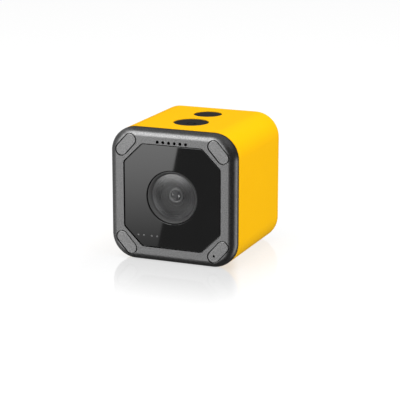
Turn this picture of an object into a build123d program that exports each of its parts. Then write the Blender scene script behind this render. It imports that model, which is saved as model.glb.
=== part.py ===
"""Cube action camera: housing, front bezel, lens, buttons, electronics and rear port door.

Millimetres. The origin is the centre of the underside. The lens looks along -Y, +X is to the
right seen from the front, and +Z is up. Depths are measured back from the front plane, and
front-view places are x and z from the camera's middle.
"""

import os
from math import atan2, degrees

from build123d import *

# --- Driving dimensions -----------------------------------------------------------------------

WIDTH = 38.0
DEPTH = 36.4
HEIGHT = 38.2
CORNER_R = 7.2
WALL = 1.6
REAR_EDGE_R = 1.6
RUNNING_GAP = 0.05
LOOSE_GAP = 0.14

CENTRE_Z = HEIGHT / 2
FRONT = -DEPTH / 2
ROOF = HEIGHT - WALL
CORNERS = {
    "top_left": (-1, 1),
    "top_right": (1, 1),
    "bottom_left": (-1, -1),
    "bottom_right": (1, -1),
}

# Front bezel
BEZEL_DEPTH = 2.6
BEZEL_EDGE_R = 2.2
SEAM = 0.3
SHELL_FRONT = BEZEL_DEPTH + SEAM
GASKET_INSET = (0.5, 1.5)

# Eight-sided window, and the ledge that it is bonded to
WINDOW_HALF_W = 14.5
WINDOW_HALF_H = 14.7
WINDOW_TOP_X = 9.0
WINDOW_SIDE_Z = 9.3
WINDOW_VERTEX_R = 1.2
WINDOW_GAP = 0.25
WINDOW_FRONT = 0.15
WINDOW_BACK = 1.4
WINDOW_EDGE_R = 0.15
LEDGE_FRONT = 1.6
LEDGE_W = 0.8
VERTEX_SHIFT = 0.42

# Oblong corner pads: the two end centres of the top right one
PAD_HIGH = (12.6, 15.7)
PAD_LOW = (15.3, 12.7)
PAD_R = 1.7
PAD_GAP = 0.2
PAD_FRONT = 0.05
PAD_BACK = 1.0
PAD_EDGE_R = 0.2
CORNER_SCREW = (14.7, 13.4)
PINHOLE = (12.7, -15.5)
PINHOLE_R = 0.35
MIC_HALF = 1.1
MIC_BACK = 4.6

# Row of speaker holes over the window
SPEAKER_HOLES = 6
SPEAKER_PITCH = 1.71
SPEAKER_HOLE_R = 0.45
SPEAKER_Z = 15.6
SPEAKER_HALF_W = 6.0
SPEAKER_SPAN_Z = (13.3, 17.1)
SPEAKER_RIM = 0.8
SPEAKER_BACK = 5.5
MESH_HALF_W = 5.6
MESH_SPAN_Z = (14.4, 16.8)
MESH_BACK = 2.75

# Status lights low in the window
STATUS_X = (-10.35, -8.64, -6.2, -4.55)
STATUS_Z = -11.6
STATUS_R = 0.35
STATUS_LED_FRONT = 3.8
STATUS_LED_BACK = 4.4
STATUS_LED_HALF_W = 0.5
STATUS_LED_HALF_H = 0.3
STATUS_BOARD_X = (-11.3, -3.6)
STATUS_BOARD_Z = (-12.6, -10.2)
STATUS_BOARD_BACK = 5.0

# Chassis plate behind the bezel
CHASSIS_BACK = 3.8
CHASSIS_SCREW = (16.0, 4.6)
CHASSIS_SCREW_TIP = 1.4
CHASSIS_HALF_W = 17.2
CHASSIS_HALF_H = 17.3
CHASSIS_FLAT_X = 6.3
CHASSIS_FLAT_Z = 6.4

# Lens: radii and depths from the front
LENS_HOLE_R = 7.65
TRIM_R = 7.5
TRIM_LIP_R = 7.15
TRIM_FRONT = 0.45
TRIM_SLOPE_BACK = 1.2
TRIM_EDGE_R = 0.1
DOME_R = 6.6
BARREL_FRONT = 2.4
BARREL_STEP = 6.5
BARREL_BACK = 15.8
BARREL_R = 5.2
CONE_R = 6.1
THROAT = 3.5
INNER_LENS_R = 2.35
MIDDLE_LENS_R = 3.6
MIDDLE_BORE = (6.0, 11.0)
REAR_LENS_R = 4.2
RETAINER_SPAN = (13.3, 14.5)
COLLAR_R = 8.7
COLLAR_BACK = 6.0
HOLDER_HALF = 7.0
HOLDER_FRONT = 13.4
CHAMBER_HALF = 5.6
FILTER_HALF = 3.5
FILTER_SPAN = (16.4, 16.8)
FILTER_LIP = 0.5
SENSOR_HALF_W = 4.3
SENSOR_HALF_H = 3.6
SENSOR_FRONT = 17.3
SENSOR_BOARD_SPAN = (18.2, 19.0)
SENSOR_BOARD_HALF = 8.5

# Rim, apex and back depths of the lens elements
DOME_DEPTHS = (1.3, 0.6, 2.3)
INNER_LENS_DEPTHS = (3.6, 3.1, 5.2)
MIDDLE_LENS_DEPTHS = (7.6, 7.0, 9.2)
REAR_LENS_DEPTHS = (12.0, 11.3, 13.2)

# Screws
HEAD_R = 1.25
HEAD_H = 0.7
SHANK_R = 0.7
DRIVE_LENGTH = 1.75
DRIVE_WIDTH = 0.44
DRIVE_DEPTH = 0.35
BEZEL_SCREW_SEAT = 1.8
BEZEL_SCREW_TIP = 8.0
COVER_SCREW_SEAT = 35.5
COVER_SCREW_TIP = 30.2
FRAME_SCREW_TIP = 25.5
BOARD_SCREW_TIP = 4.0
BUTTON_SCREW_TIP = 35.8

# Housing bosses and posts, in the front view or in plan
BOSS_R = 2.7
BOSS_END = 12.0
REAR_SCREW = (12.7, 12.8)
REAR_BOSS_R = 2.2
REAR_BOSS_FRONT = 28.2
FRAME_SCREW = (15.8, 7.0)
FRAME_POST_R = 1.8
FRAME_POST_END = 26.5
BOARD_POSTS = [(-9.2, -10.6), (9.2, -10.6), (-9.2, 11.4), (9.2, 11.4)]
BOARD_POST_R = 1.6
BUTTON_POSTS = [(-8.3, -0.6), (8.3, -0.6)]
BUTTON_POST_R = 1.5

# Top buttons
BUTTON_X = 0.3
SHUTTER_PLACE = (BUTTON_X, -4.7)
SHUTTER_R = 4.95
POWER_PLACE = (BUTTON_X, 7.8)
POWER_R = 4.0
BUTTON_GAP = 0.15
BUTTON_TOP = HEIGHT - 0.1
BUTTON_DISH_R = 24.0
BUTTON_DISH = 0.35
BUTTON_TRAVEL = 0.5
FLANGE_W = 0.6
FLANGE_TOP = ROOF - 0.05
FLANGE_T = 0.9
STEM_R = 1.2
STEM_BOTTOM = 34.2
GUIDE_W = 1.0
MARK_R = (0.95, 1.3)
MARK_DEPTH = 0.2

# Boards
MAIN_BOARD_Z = 9.2
MAIN_BOARD_T = 1.0
MAIN_BOARD_HALF_W = 11.0
MAIN_BOARD_Y = (-12.8, 14.6)
BUTTON_BOARD_Z = 31.8
BUTTON_BOARD_T = 0.8
BUTTON_BOARD_HALF_W = 10.0
BUTTON_BOARD_Y = (-9.0, 12.0)
SWITCH_HALF = 2.0
SWITCH_T = 0.8
SWITCH_DOME_T = 0.3
FLEX_T = 0.2
BUTTON_FLEX_X = -12.4
BUTTON_FLEX_Y = (3.0, 7.0)
BUTTON_FLEX_LAP = 3.4
SENSOR_FLEX_HALF_W = 3.0
SENSOR_FLEX_RISE = 4.0
SENSOR_FLEX_RUN = 4.5

# Chips and films
PROCESSOR_X = (-4.0, 4.0)
PROCESSOR_Y = (-10.0, -2.4)
CHIP_T = 0.9
SHIELD_MARGIN = 1.0
SHIELD_H = 1.4
SHIELD_T = 0.2
MEMORY_X = (1.5, 6.5)
MEMORY_Y = (-11.0, -7.0)
ANTENNA_T = 0.15
ANTENNA_Y = (-4.8, 0.4)
ANTENNA_Z = (12.0, 26.0)
ANTENNA_CUT = 1.0
ANTENNA_PITCH = 3.0

# Middle frame and battery
FRAME_SPAN = (19.4, 20.4)
FRAME_Z = (-8.6, 12.4)
FRAME_WINDOW_X = (-5.0, 5.0)
FRAME_WINDOW_Z = (-2.0, 8.0)
FRAME_SLOT_HALF_W = 3.4
FRAME_SLOT_TOP = -7.0
BATTERY_Y = (2.4, 9.6)
BATTERY_Z = (14.0, 31.3)
BATTERY_HALF_W = 11.5
BATTERY_EDGE_R = 1.2
ADHESIVE_HALF_W = 10.0
ADHESIVE_Z = (15.0, 30.0)

# Rear cover
COVER_W = 30.0
COVER_H = 30.2
COVER_R = 4.0
COVER_GAP = 0.2
COVER_EDGE = 0.25
GASKET_MARGIN = 0.5
COVER_INNER = 16.4
COVER_OUTER = 18.0
REAR_LEDGE = (14.6, 16.2)
REAR_LEDGE_INSET = 1.4
REAR_LEDGE_R = 6.0

# Port door, its hinge at the left edge and its slide latch at the right edge
DOOR_HALF_W = 8.4
DOOR_HALF_H = 4.2
DOOR_Z = 10.4
DOOR_GAP = 0.2
HINGE_X = -7.6
HINGE_Y = (COVER_INNER + COVER_OUTER) / 2
HINGE_PIN_R = 0.35
HINGE_PIN_REACH = 1.0
LATCH_X = (4.0, 8.2)
LATCH_GRIP_X = (4.0, 6.8)
LATCH_TRAVEL = 1.2
LATCH_BASE_HALF_H = 1.9
LATCH_GRIP_HALF_H = 1.4
LATCH_BASE_Y = (16.8, 17.2)
LATCH_CLEAR = 0.1
LATCH_SETBACK = 0.05
RIBS = 4
RIB_W = 0.3
RIB_PITCH = 0.6
RIB_START = 0.4
RIB_DEPTH = 0.25
PORT_SEAL_X = (-5.6, 7.4)
PORT_SEAL_HALF_H = 3.6
PORT_SEAL_W = 0.9
PORT_SEAL_T = 0.7

# Sockets and card
USB_HALF_W = 4.5
USB_H = 3.2
USB_Y = (8.2, 15.4)
USB_WALL = 0.33
USB_BASE = 1.0
USB_OVAL_FLAT = 0.05
TONGUE_HALF_W = 3.35
TONGUE_HALF_H = 0.35
TONGUE_SETBACK = 0.8
CARD_SOCKET_HALF_W = 6.6
CARD_SOCKET_H = 1.6
CARD_SOCKET_Y = (-2.2, 13.2)
CARD_HALF_W = 5.5
CARD_Y = (-1.3, 13.7)
CARD_T = 0.8
CARD_GAP = 0.1
CARD_NOTCH_W = 0.7
CARD_NOTCH_Y = (3.0, 4.6)
CARD_LIP = 0.2
CARD_LIP_LENGTH = 0.4
CARD_LIP_INSET = 0.5

# Tripod thread, 1/4"-20, bored to its minor diameter
TRIPOD_R = 2.6
TRIPOD_INSERT_R = 4.3
TRIPOD_INSERT_TOP = 6.0
TRIPOD_INSERT_BOTTOM = 0.1
TRIPOD_DEPTH = 5.3
TRIPOD_BOSS_R = 6.0
TRIPOD_BOSS_TOP = 7.0
TRIPOD_CHAMFER = 0.4


# --- Helpers ----------------------------------------------------------------------------------


def slab(outline, front, rear):
    """Outline in the front view, solid between two depths."""
    plane = Plane(origin=(0, FRONT + rear, CENTRE_Z), x_dir=(1, 0, 0), z_dir=(0, -1, 0))
    return extrude(plane * outline, rear - front)


def disc(radius, front, rear, x=0.0, z=0.0):
    """Cylinder along the lens axis between two depths."""
    return slab(Pos(x, z) * Circle(radius), front, rear)


def tube(outer, inner, front, rear):
    """Ring about the lens axis between two depths."""
    return disc(outer, front, rear) - disc(inner, front, rear)


def plate(x_span, z_span, front, rear):
    """Rectangle in the front view, solid between two depths."""
    outline = Rectangle(x_span[1] - x_span[0], z_span[1] - z_span[0])
    return slab(Pos(sum(x_span) / 2, sum(z_span) / 2) * outline, front, rear)


def block(x_span, y_span, z_span):
    """Box in the camera's own coordinates."""
    spans = (x_span, y_span, z_span)
    sizes = [high - low for low, high in spans]
    middle = [(low + high) / 2 for low, high in spans]
    return Pos(*middle) * Box(*sizes)


def post(radius, place, low, high):
    """Upright cylinder at a place in plan."""
    return Pos(*place, (low + high) / 2) * Cylinder(radius, high - low)


def turned(points):
    """Solid turned about the lens axis from (radius, depth) points."""
    profile = [(radius, FRONT + depth) for radius, depth in points]
    face = make_face(Polyline(*profile, close=True))
    return Pos(0, 0, CENTRE_Z) * revolve(face, Axis.Y)


def domed(radius, rim, apex, back):
    """Lens element: a convex front between rim and apex depths, and a flat back."""
    front_arc = ThreePointArc(
        (-radius, FRONT + rim),
        (0, FRONT + apex),
        (radius, FRONT + rim),
    )
    sides = Polyline(
        (radius, FRONT + rim),
        (radius, FRONT + back),
        (-radius, FRONT + back),
        (-radius, FRONT + rim),
    )
    face = make_face(front_arc + sides) & Pos(radius, FRONT + back) * Rectangle(2 * radius, 4 * back)
    return Pos(0, 0, CENTRE_Z) * revolve(face, Axis.Y)


def group(parts):
    """Several like solids in one node."""
    return Compound(children=[solid for part in parts for solid in part.solids()])


def body_outline(inset=0.0):
    """The housing's rounded square, moved inwards."""
    return RectangleRounded(WIDTH - 2 * inset, HEIGHT - 2 * inset, CORNER_R - inset)


def window_outline(grow=0.0):
    """The window's eight-sided outline with rounded vertices, moved outwards."""
    half_w = WINDOW_HALF_W + grow
    half_h = WINDOW_HALF_H + grow
    top_x = WINDOW_TOP_X + grow * VERTEX_SHIFT
    side_z = WINDOW_SIDE_Z + grow * VERTEX_SHIFT
    right = [(top_x, -half_h), (half_w, -side_z), (half_w, side_z), (top_x, half_h)]
    left = [(-x, -z) for x, z in right]
    outline = Polygon(*right, *left, align=None)
    return fillet(outline.vertices(), WINDOW_VERTEX_R)


def pad_outline(sign_x, sign_z, grow=0.0):
    """Oblong outline of one corner pad, moved outwards."""
    high = Vector(sign_x * PAD_HIGH[0], sign_z * PAD_HIGH[1])
    low = Vector(sign_x * PAD_LOW[0], sign_z * PAD_LOW[1])
    run = low - high
    middle = (high + low) / 2
    slot = SlotCenterToCenter(run.length, 2 * (PAD_R + grow))
    return Pos(middle.X, middle.Y) * Rot(0, 0, degrees(atan2(run.Y, run.X))) * slot


def in_corners(place):
    """The four mirrored copies of a front-view place."""
    return [(sign_x * place[0], sign_z * place[1]) for sign_x, sign_z in CORNERS.values()]


def drive_recess():
    """Cross recess cutter for a screw head, centred on its mouth."""
    arm = Box(DRIVE_LENGTH, DRIVE_WIDTH, 2 * DRIVE_DEPTH)
    return arm + Rot(0, 0, 90) * arm


def lens_axis_screw(seat, tip, x, z):
    """Cap screw along the lens axis: its shank runs from the seat depth to the tip depth."""
    outward = -1 if tip > seat else 1
    mouth = seat + outward * HEAD_H
    solid = disc(HEAD_R, min(seat, mouth), max(seat, mouth), x, z)
    solid += disc(SHANK_R, min(seat, tip), max(seat, tip), x, z)
    return solid - Pos(x, FRONT + mouth, CENTRE_Z + z) * Rot(90, 0, 0) * drive_recess()


def upright_screw(place, seat, tip):
    """Cap screw along Z: its shank runs from the seat height to the tip height."""
    outward = 1 if tip < seat else -1
    mouth = seat + outward * HEAD_H
    solid = post(HEAD_R, place, min(seat, mouth), max(seat, mouth))
    solid += post(SHANK_R, place, min(seat, tip), max(seat, tip))
    return solid - Pos(*place, mouth) * drive_recess()


# --- Housing ----------------------------------------------------------------------------------


def drilled_bosses(shell, places, radius, seat, end, screw_tip):
    """Adds a drilled boss to the housing at each front-view place."""
    limits = slab(body_outline(WALL / 2), SHELL_FRONT, REAR_LEDGE[1] - FRONT)
    for x, z in places:
        shell += disc(radius, min(seat, end), max(seat, end), x, z) & limits
    for x, z in places:
        shell -= disc(SHANK_R, min(seat, screw_tip), max(seat, screw_tip), x, z)
    return shell


def body_shell():
    """One-piece housing: four walls, a rear flange with a ledge, bosses and button holes."""
    shell = slab(body_outline(), SHELL_FRONT, DEPTH)
    shell = fillet(shell.faces().sort_by(Axis.Y)[-1].edges(), REAR_EDGE_R)
    shell -= slab(body_outline(WALL), SHELL_FRONT, REAR_LEDGE[0] - FRONT)
    pocket = RectangleRounded(COVER_W + 2 * COVER_GAP, COVER_H + 2 * COVER_GAP, COVER_R)
    shell -= slab(pocket, REAR_LEDGE[1] - FRONT, DEPTH)
    opening_w = COVER_W - 2 * REAR_LEDGE_INSET
    opening_h = COVER_H - 2 * REAR_LEDGE_INSET
    shell -= slab(RectangleRounded(opening_w, opening_h, REAR_LEDGE_R), REAR_LEDGE[0] - FRONT, DEPTH)
    ledge_back = REAR_LEDGE[1] - FRONT
    front_places = in_corners(CORNER_SCREW)
    rear_places = in_corners(REAR_SCREW)
    frame_places = in_corners(FRAME_SCREW)
    shell = drilled_bosses(shell, front_places, BOSS_R, SHELL_FRONT, BOSS_END, BEZEL_SCREW_TIP)
    shell = drilled_bosses(
        shell, rear_places, REAR_BOSS_R, ledge_back, REAR_BOSS_FRONT, COVER_SCREW_TIP
    )
    shell = drilled_bosses(
        shell, frame_places, FRAME_POST_R, FRAME_SPAN[1], FRAME_POST_END, FRAME_SCREW_TIP
    )
    for place in BOARD_POSTS:
        shell += post(BOARD_POST_R, place, WALL / 2, MAIN_BOARD_Z)
        shell -= post(SHANK_R, place, BOARD_SCREW_TIP, MAIN_BOARD_Z)
    for place in BUTTON_POSTS:
        shell += post(BUTTON_POST_R, place, BUTTON_BOARD_Z + BUTTON_BOARD_T, HEIGHT - WALL / 2)
        shell -= post(SHANK_R, place, BUTTON_BOARD_Z + BUTTON_BOARD_T, BUTTON_SCREW_TIP)
    shell -= post(SHUTTER_R + BUTTON_GAP, SHUTTER_PLACE, ROOF - WALL, HEIGHT)
    shell -= post(POWER_R + BUTTON_GAP, POWER_PLACE, ROOF - WALL, HEIGHT)
    shell += post(TRIPOD_BOSS_R, (0, 0), WALL / 2, TRIPOD_BOSS_TOP)
    shell -= post(TRIPOD_INSERT_R, (0, 0), 0, TRIPOD_INSERT_TOP)
    return shell - microphone_space()


def microphone_space():
    """Pocket for the microphone behind the pinhole, cut beside the corner boss."""
    low, high = -MIC_HALF - COVER_GAP, MIC_HALF + COVER_GAP
    x, z = PINHOLE
    return plate((x + low, x + high), (z + low, z + high), BEZEL_DEPTH, MIC_BACK + COVER_GAP)


def tripod_insert():
    """Blind brass bush in the underside."""
    bush = post(TRIPOD_INSERT_R, (0, 0), TRIPOD_INSERT_BOTTOM, TRIPOD_INSERT_TOP)
    bush -= post(TRIPOD_R, (0, 0), TRIPOD_INSERT_BOTTOM, TRIPOD_DEPTH)
    mouth = bush.faces().sort_by(Axis.Z)[0].edges().sort_by(SortBy.RADIUS)[0]
    return chamfer(mouth, TRIPOD_CHAMFER)


# --- Front ------------------------------------------------------------------------------------


def status_holes(radius, front, rear):
    """One short cylinder per status light."""
    return [disc(radius, front, rear, x, STATUS_Z) for x in STATUS_X]


def front_bezel():
    """Frame with a rounded front edge, window opening and ledge, pad slots and small holes."""
    bezel = slab(body_outline(), 0, BEZEL_DEPTH)
    bezel = fillet(bezel.faces().sort_by(Axis.Y)[0].edges(), BEZEL_EDGE_R)
    bezel -= slab(window_outline(WINDOW_GAP), 0, LEDGE_FRONT)
    bezel -= slab(window_outline(-LEDGE_W), 0, BEZEL_DEPTH)
    for sign_x, sign_z in CORNERS.values():
        bezel -= slab(pad_outline(sign_x, sign_z, PAD_GAP), 0, PAD_BACK)
    for x, z in in_corners(CORNER_SCREW):
        bezel -= disc(HEAD_R + LOOSE_GAP, PAD_BACK, BEZEL_SCREW_SEAT, x, z)
        bezel -= disc(SHANK_R + LOOSE_GAP, PAD_BACK, BEZEL_DEPTH, x, z)
    for index in range(SPEAKER_HOLES):
        x = (index - (SPEAKER_HOLES - 1) / 2) * SPEAKER_PITCH
        bezel -= disc(SPEAKER_HOLE_R, 0, BEZEL_DEPTH, x, SPEAKER_Z)
    bezel -= disc(PINHOLE_R, 0, BEZEL_DEPTH, *PINHOLE)
    for x, z in in_corners(CHASSIS_SCREW):
        bezel -= disc(SHANK_R, CHASSIS_SCREW_TIP, BEZEL_DEPTH, x, z)
    for hole in status_holes(STATUS_R + LOOSE_GAP, LEDGE_FRONT, BEZEL_DEPTH):
        bezel -= hole
    return bezel


def bezel_gasket():
    """Thin seal in the seam between the bezel and the housing."""
    outer, inner = GASKET_INSET
    return slab(body_outline(outer), BEZEL_DEPTH, SHELL_FRONT) - slab(
        body_outline(inner), BEZEL_DEPTH, SHELL_FRONT
    )


def bezel_screws():
    """Four screws under the corner pads."""
    places = in_corners(CORNER_SCREW)
    return group([lens_axis_screw(BEZEL_SCREW_SEAT, BEZEL_SCREW_TIP, x, z) for x, z in places])


def corner_pad(name):
    """Oblong cap over one bezel screw; the bottom right one has the microphone's pinhole."""
    pad = slab(pad_outline(*CORNERS[name]), PAD_FRONT, PAD_BACK)
    pad = fillet(pad.faces().sort_by(Axis.Y)[0].edges(), PAD_EDGE_R)
    if name == "bottom_right":
        pad -= disc(PINHOLE_R, 0, PAD_BACK, *PINHOLE)
    return pad


def front_window():
    """Eight-sided window with a round hole for the lens."""
    window = slab(window_outline(), WINDOW_FRONT, WINDOW_BACK)
    window -= disc(LENS_HOLE_R, 0, WINDOW_BACK)
    return fillet(window.faces().sort_by(Axis.Y)[0].edges(), WINDOW_EDGE_R)


def window_seal():
    """Adhesive sheet behind the window, holed for the lens and the status lights."""
    sheet = slab(window_outline(-WINDOW_GAP), WINDOW_BACK, LEDGE_FRONT)
    sheet -= disc(LENS_HOLE_R + LOOSE_GAP, WINDOW_BACK, LEDGE_FRONT)
    for hole in status_holes(STATUS_R + LOOSE_GAP, WINDOW_BACK, LEDGE_FRONT):
        sheet -= hole
    return sheet


def front_chassis():
    """Plate behind the bezel with a raised middle under the window and a collar for the lens."""
    right = [
        (CHASSIS_FLAT_X, -CHASSIS_HALF_H),
        (CHASSIS_HALF_W, -CHASSIS_FLAT_Z),
        (CHASSIS_HALF_W, CHASSIS_FLAT_Z),
        (CHASSIS_FLAT_X, CHASSIS_HALF_H),
    ]
    left = [(-x, -z) for x, z in right]
    chassis = slab(Polygon(*right, *left, align=None), BEZEL_DEPTH, CHASSIS_BACK)
    chassis += slab(window_outline(-LEDGE_W - WINDOW_GAP), LEDGE_FRONT, CHASSIS_BACK)
    chassis += disc(COLLAR_R, LEDGE_FRONT, COLLAR_BACK)
    chassis -= disc(TRIM_R + RUNNING_GAP, LEDGE_FRONT, COLLAR_BACK)
    speaker_x = (-SPEAKER_HALF_W - COVER_GAP, SPEAKER_HALF_W + COVER_GAP)
    speaker_z = (SPEAKER_SPAN_Z[0] - COVER_GAP, CHASSIS_HALF_H)
    chassis -= plate(speaker_x, speaker_z, BEZEL_DEPTH, CHASSIS_BACK)
    for hole in status_holes(STATUS_R + LOOSE_GAP, LEDGE_FRONT, CHASSIS_BACK):
        chassis -= hole
    for x, z in in_corners(CHASSIS_SCREW):
        chassis -= disc(SHANK_R, BEZEL_DEPTH, CHASSIS_BACK, x, z)
    return chassis


def chassis_screws():
    """Four screws from the chassis forwards into the bezel."""
    places = in_corners(CHASSIS_SCREW)
    return group([lens_axis_screw(CHASSIS_BACK, CHASSIS_SCREW_TIP, x, z) for x, z in places])


def status_light_guides():
    """Four clear rods from the lights to the back of the window."""
    return group(status_holes(STATUS_R, WINDOW_BACK, STATUS_LED_FRONT))


def status_leds():
    """Four small lights on the status board."""
    z_span = (STATUS_Z - STATUS_LED_HALF_H, STATUS_Z + STATUS_LED_HALF_H)
    spans = [(x - STATUS_LED_HALF_W, x + STATUS_LED_HALF_W) for x in STATUS_X]
    return group([plate(span, z_span, STATUS_LED_FRONT, STATUS_LED_BACK) for span in spans])


def status_board():
    """Small circuit board behind the status lights."""
    return plate(STATUS_BOARD_X, STATUS_BOARD_Z, STATUS_LED_BACK, STATUS_BOARD_BACK)


def speaker_mesh():
    """Thin cloth behind the speaker holes."""
    return plate((-MESH_HALF_W, MESH_HALF_W), MESH_SPAN_Z, BEZEL_DEPTH, MESH_BACK)


def speaker():
    """Flat rectangular loudspeaker with a raised rim and a shallow diaphragm."""
    x_span = (-SPEAKER_HALF_W, SPEAKER_HALF_W)
    box = plate(x_span, SPEAKER_SPAN_Z, MESH_BACK, SPEAKER_BACK)
    x_inner = (x_span[0] + SPEAKER_RIM, x_span[1] - SPEAKER_RIM)
    z_inner = (SPEAKER_SPAN_Z[0] + SPEAKER_RIM, SPEAKER_SPAN_Z[1] - SPEAKER_RIM)
    return box - plate(x_inner, z_inner, MESH_BACK, MESH_BACK + SPEAKER_RIM / 2)


def microphone():
    """Square microphone can behind the pinhole, with a port hole in its face."""
    x, z = PINHOLE
    can = plate((x - MIC_HALF, x + MIC_HALF), (z - MIC_HALF, z + MIC_HALF), BEZEL_DEPTH, MIC_BACK)
    return can - disc(PINHOLE_R, BEZEL_DEPTH, BEZEL_DEPTH + PINHOLE_R, x, z)


# --- Lens -------------------------------------------------------------------------------------


def lens_trim_ring():
    """Ring round the front element: a narrow face, and a slope inwards to the glass."""
    inner = DOME_R + RUNNING_GAP
    ring = turned([
        (inner, TRIM_SLOPE_BACK),
        (TRIM_LIP_R, TRIM_FRONT),
        (TRIM_R, TRIM_FRONT),
        (TRIM_R, BARREL_FRONT),
        (inner, BARREL_FRONT),
    ])
    return fillet(ring.faces().sort_by(Axis.Y)[0].edges(), TRIM_EDGE_R)


def lens_front_element():
    """Domed outer glass."""
    return domed(DOME_R, *DOME_DEPTHS)


def lens_seal():
    """Thin washer between the outer glass and the barrel."""
    return tube(DOME_R, CONE_R, DOME_DEPTHS[-1], BARREL_FRONT)


def lens_barrel():
    """Stepped barrel with a conical mouth and a bore that steps up towards the sensor."""
    middle_front, middle_back = MIDDLE_BORE
    return turned([
        (CONE_R, BARREL_FRONT),
        (TRIM_R, BARREL_FRONT),
        (TRIM_R, BARREL_STEP),
        (BARREL_R, BARREL_STEP),
        (BARREL_R, BARREL_BACK),
        (REAR_LENS_R + RUNNING_GAP, BARREL_BACK),
        (REAR_LENS_R + RUNNING_GAP, middle_back),
        (MIDDLE_LENS_R + RUNNING_GAP, middle_back),
        (MIDDLE_LENS_R + RUNNING_GAP, middle_front),
        (INNER_LENS_R + RUNNING_GAP, middle_front),
        (INNER_LENS_R + RUNNING_GAP, THROAT),
    ])


def lens_inner_element():
    """Small convex element at the bottom of the conical mouth."""
    return domed(INNER_LENS_R, *INNER_LENS_DEPTHS)


def lens_middle_element():
    """Convex element in the middle of the barrel."""
    return domed(MIDDLE_LENS_R, *MIDDLE_LENS_DEPTHS)


def lens_rear_element():
    """Last element in front of the filter."""
    return domed(REAR_LENS_R, *REAR_LENS_DEPTHS)


def lens_retainer_ring():
    """Ring that holds the rear element in the barrel."""
    return tube(REAR_LENS_R, MIDDLE_LENS_R, *RETAINER_SPAN)


def lens_holder():
    """Square housing on the sensor board that the barrel's rear end sits in."""
    span = (-HOLDER_HALF, HOLDER_HALF)
    holder = plate(span, span, HOLDER_FRONT, SENSOR_BOARD_SPAN[0])
    holder -= disc(BARREL_R + RUNNING_GAP, HOLDER_FRONT, BARREL_BACK + RUNNING_GAP)
    opening = (-FILTER_HALF + FILTER_LIP, FILTER_HALF - FILTER_LIP)
    holder -= plate(opening, opening, HOLDER_FRONT, SENSOR_BOARD_SPAN[0])
    chamber = (-CHAMBER_HALF, CHAMBER_HALF)
    return holder - plate(chamber, chamber, FILTER_SPAN[0], SENSOR_BOARD_SPAN[0])


def ir_filter():
    """Thin square filter glass over the sensor."""
    span = (-FILTER_HALF, FILTER_HALF)
    return plate(span, span, *FILTER_SPAN)


def image_sensor():
    """Image sensor package."""
    x_span = (-SENSOR_HALF_W, SENSOR_HALF_W)
    z_span = (-SENSOR_HALF_H, SENSOR_HALF_H)
    return plate(x_span, z_span, SENSOR_FRONT, SENSOR_BOARD_SPAN[0])


def sensor_board():
    """Square circuit board that carries the sensor and the lens holder."""
    span = (-SENSOR_BOARD_HALF, SENSOR_BOARD_HALF)
    return plate(span, span, *SENSOR_BOARD_SPAN)


# --- Top buttons ------------------------------------------------------------------------------


def button(place, radius):
    """Dished round button with a flange under the roof and a stem over its switch."""
    cap = post(radius, place, FLANGE_TOP, BUTTON_TOP)
    cap = fillet(cap.faces().sort_by(Axis.Z)[-1].edges(), BUTTON_GAP)
    cap += post(radius + FLANGE_W, place, FLANGE_TOP - FLANGE_T, FLANGE_TOP)
    cap += post(STEM_R, place, STEM_BOTTOM, FLANGE_TOP)
    sphere_z = BUTTON_TOP - BUTTON_DISH + BUTTON_DISH_R
    return cap - Pos(*place, sphere_z) * Sphere(BUTTON_DISH_R)


def button_guide(place, radius):
    """Ring under the roof that keeps a button's flange in line."""
    inner = radius + FLANGE_W + BUTTON_GAP
    bottom = FLANGE_TOP - FLANGE_T - BUTTON_TRAVEL
    return post(inner + GUIDE_W, place, bottom, ROOF) - post(inner, place, bottom, ROOF)


def shutter_button():
    """Front button, with a ring mark pressed into its dish."""
    inner, outer = MARK_R
    bottom = BUTTON_TOP - BUTTON_DISH - MARK_DEPTH
    mark = post(outer, SHUTTER_PLACE, bottom, HEIGHT) - post(inner, SHUTTER_PLACE, bottom, HEIGHT)
    return button(SHUTTER_PLACE, SHUTTER_R) - mark


def power_button():
    """Rear button."""
    return button(POWER_PLACE, POWER_R)


def button_board():
    """Circuit board under the roof, with two screw holes."""
    z_span = (BUTTON_BOARD_Z, BUTTON_BOARD_Z + BUTTON_BOARD_T)
    board = block((-BUTTON_BOARD_HALF_W, BUTTON_BOARD_HALF_W), BUTTON_BOARD_Y, z_span)
    for place in BUTTON_POSTS:
        board -= post(SHANK_R, place, *z_span)
    return board


def button_switches():
    """Two dome switches on the button board."""
    base = BUTTON_BOARD_Z + BUTTON_BOARD_T
    top = base + SWITCH_T
    switches = []
    for place in (SHUTTER_PLACE, POWER_PLACE):
        x_span, y_span = [(middle - SWITCH_HALF, middle + SWITCH_HALF) for middle in place]
        can = block(x_span, y_span, (base, top))
        switches.append(can + post(STEM_R, place, top, top + SWITCH_DOME_T))
    return group(switches)


def button_board_screws():
    """Two screws up into the roof's posts."""
    return group([upright_screw(p, BUTTON_BOARD_Z, BUTTON_SCREW_TIP) for p in BUTTON_POSTS])


def button_flex():
    """Flat cable down the battery's left side from the button board to the main board."""
    base = MAIN_BOARD_Z + MAIN_BOARD_T
    lap = (BUTTON_FLEX_X, BUTTON_FLEX_X + BUTTON_FLEX_LAP)
    cable = block((BUTTON_FLEX_X, BUTTON_FLEX_X + FLEX_T), BUTTON_FLEX_Y, (base, BUTTON_BOARD_Z))
    cable += block(lap, BUTTON_FLEX_Y, (base, base + FLEX_T))
    return cable + block(lap, BUTTON_FLEX_Y, (BUTTON_BOARD_Z - FLEX_T, BUTTON_BOARD_Z))


# --- Main electronics -------------------------------------------------------------------------

BOARD_TOP = MAIN_BOARD_Z + MAIN_BOARD_T


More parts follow.
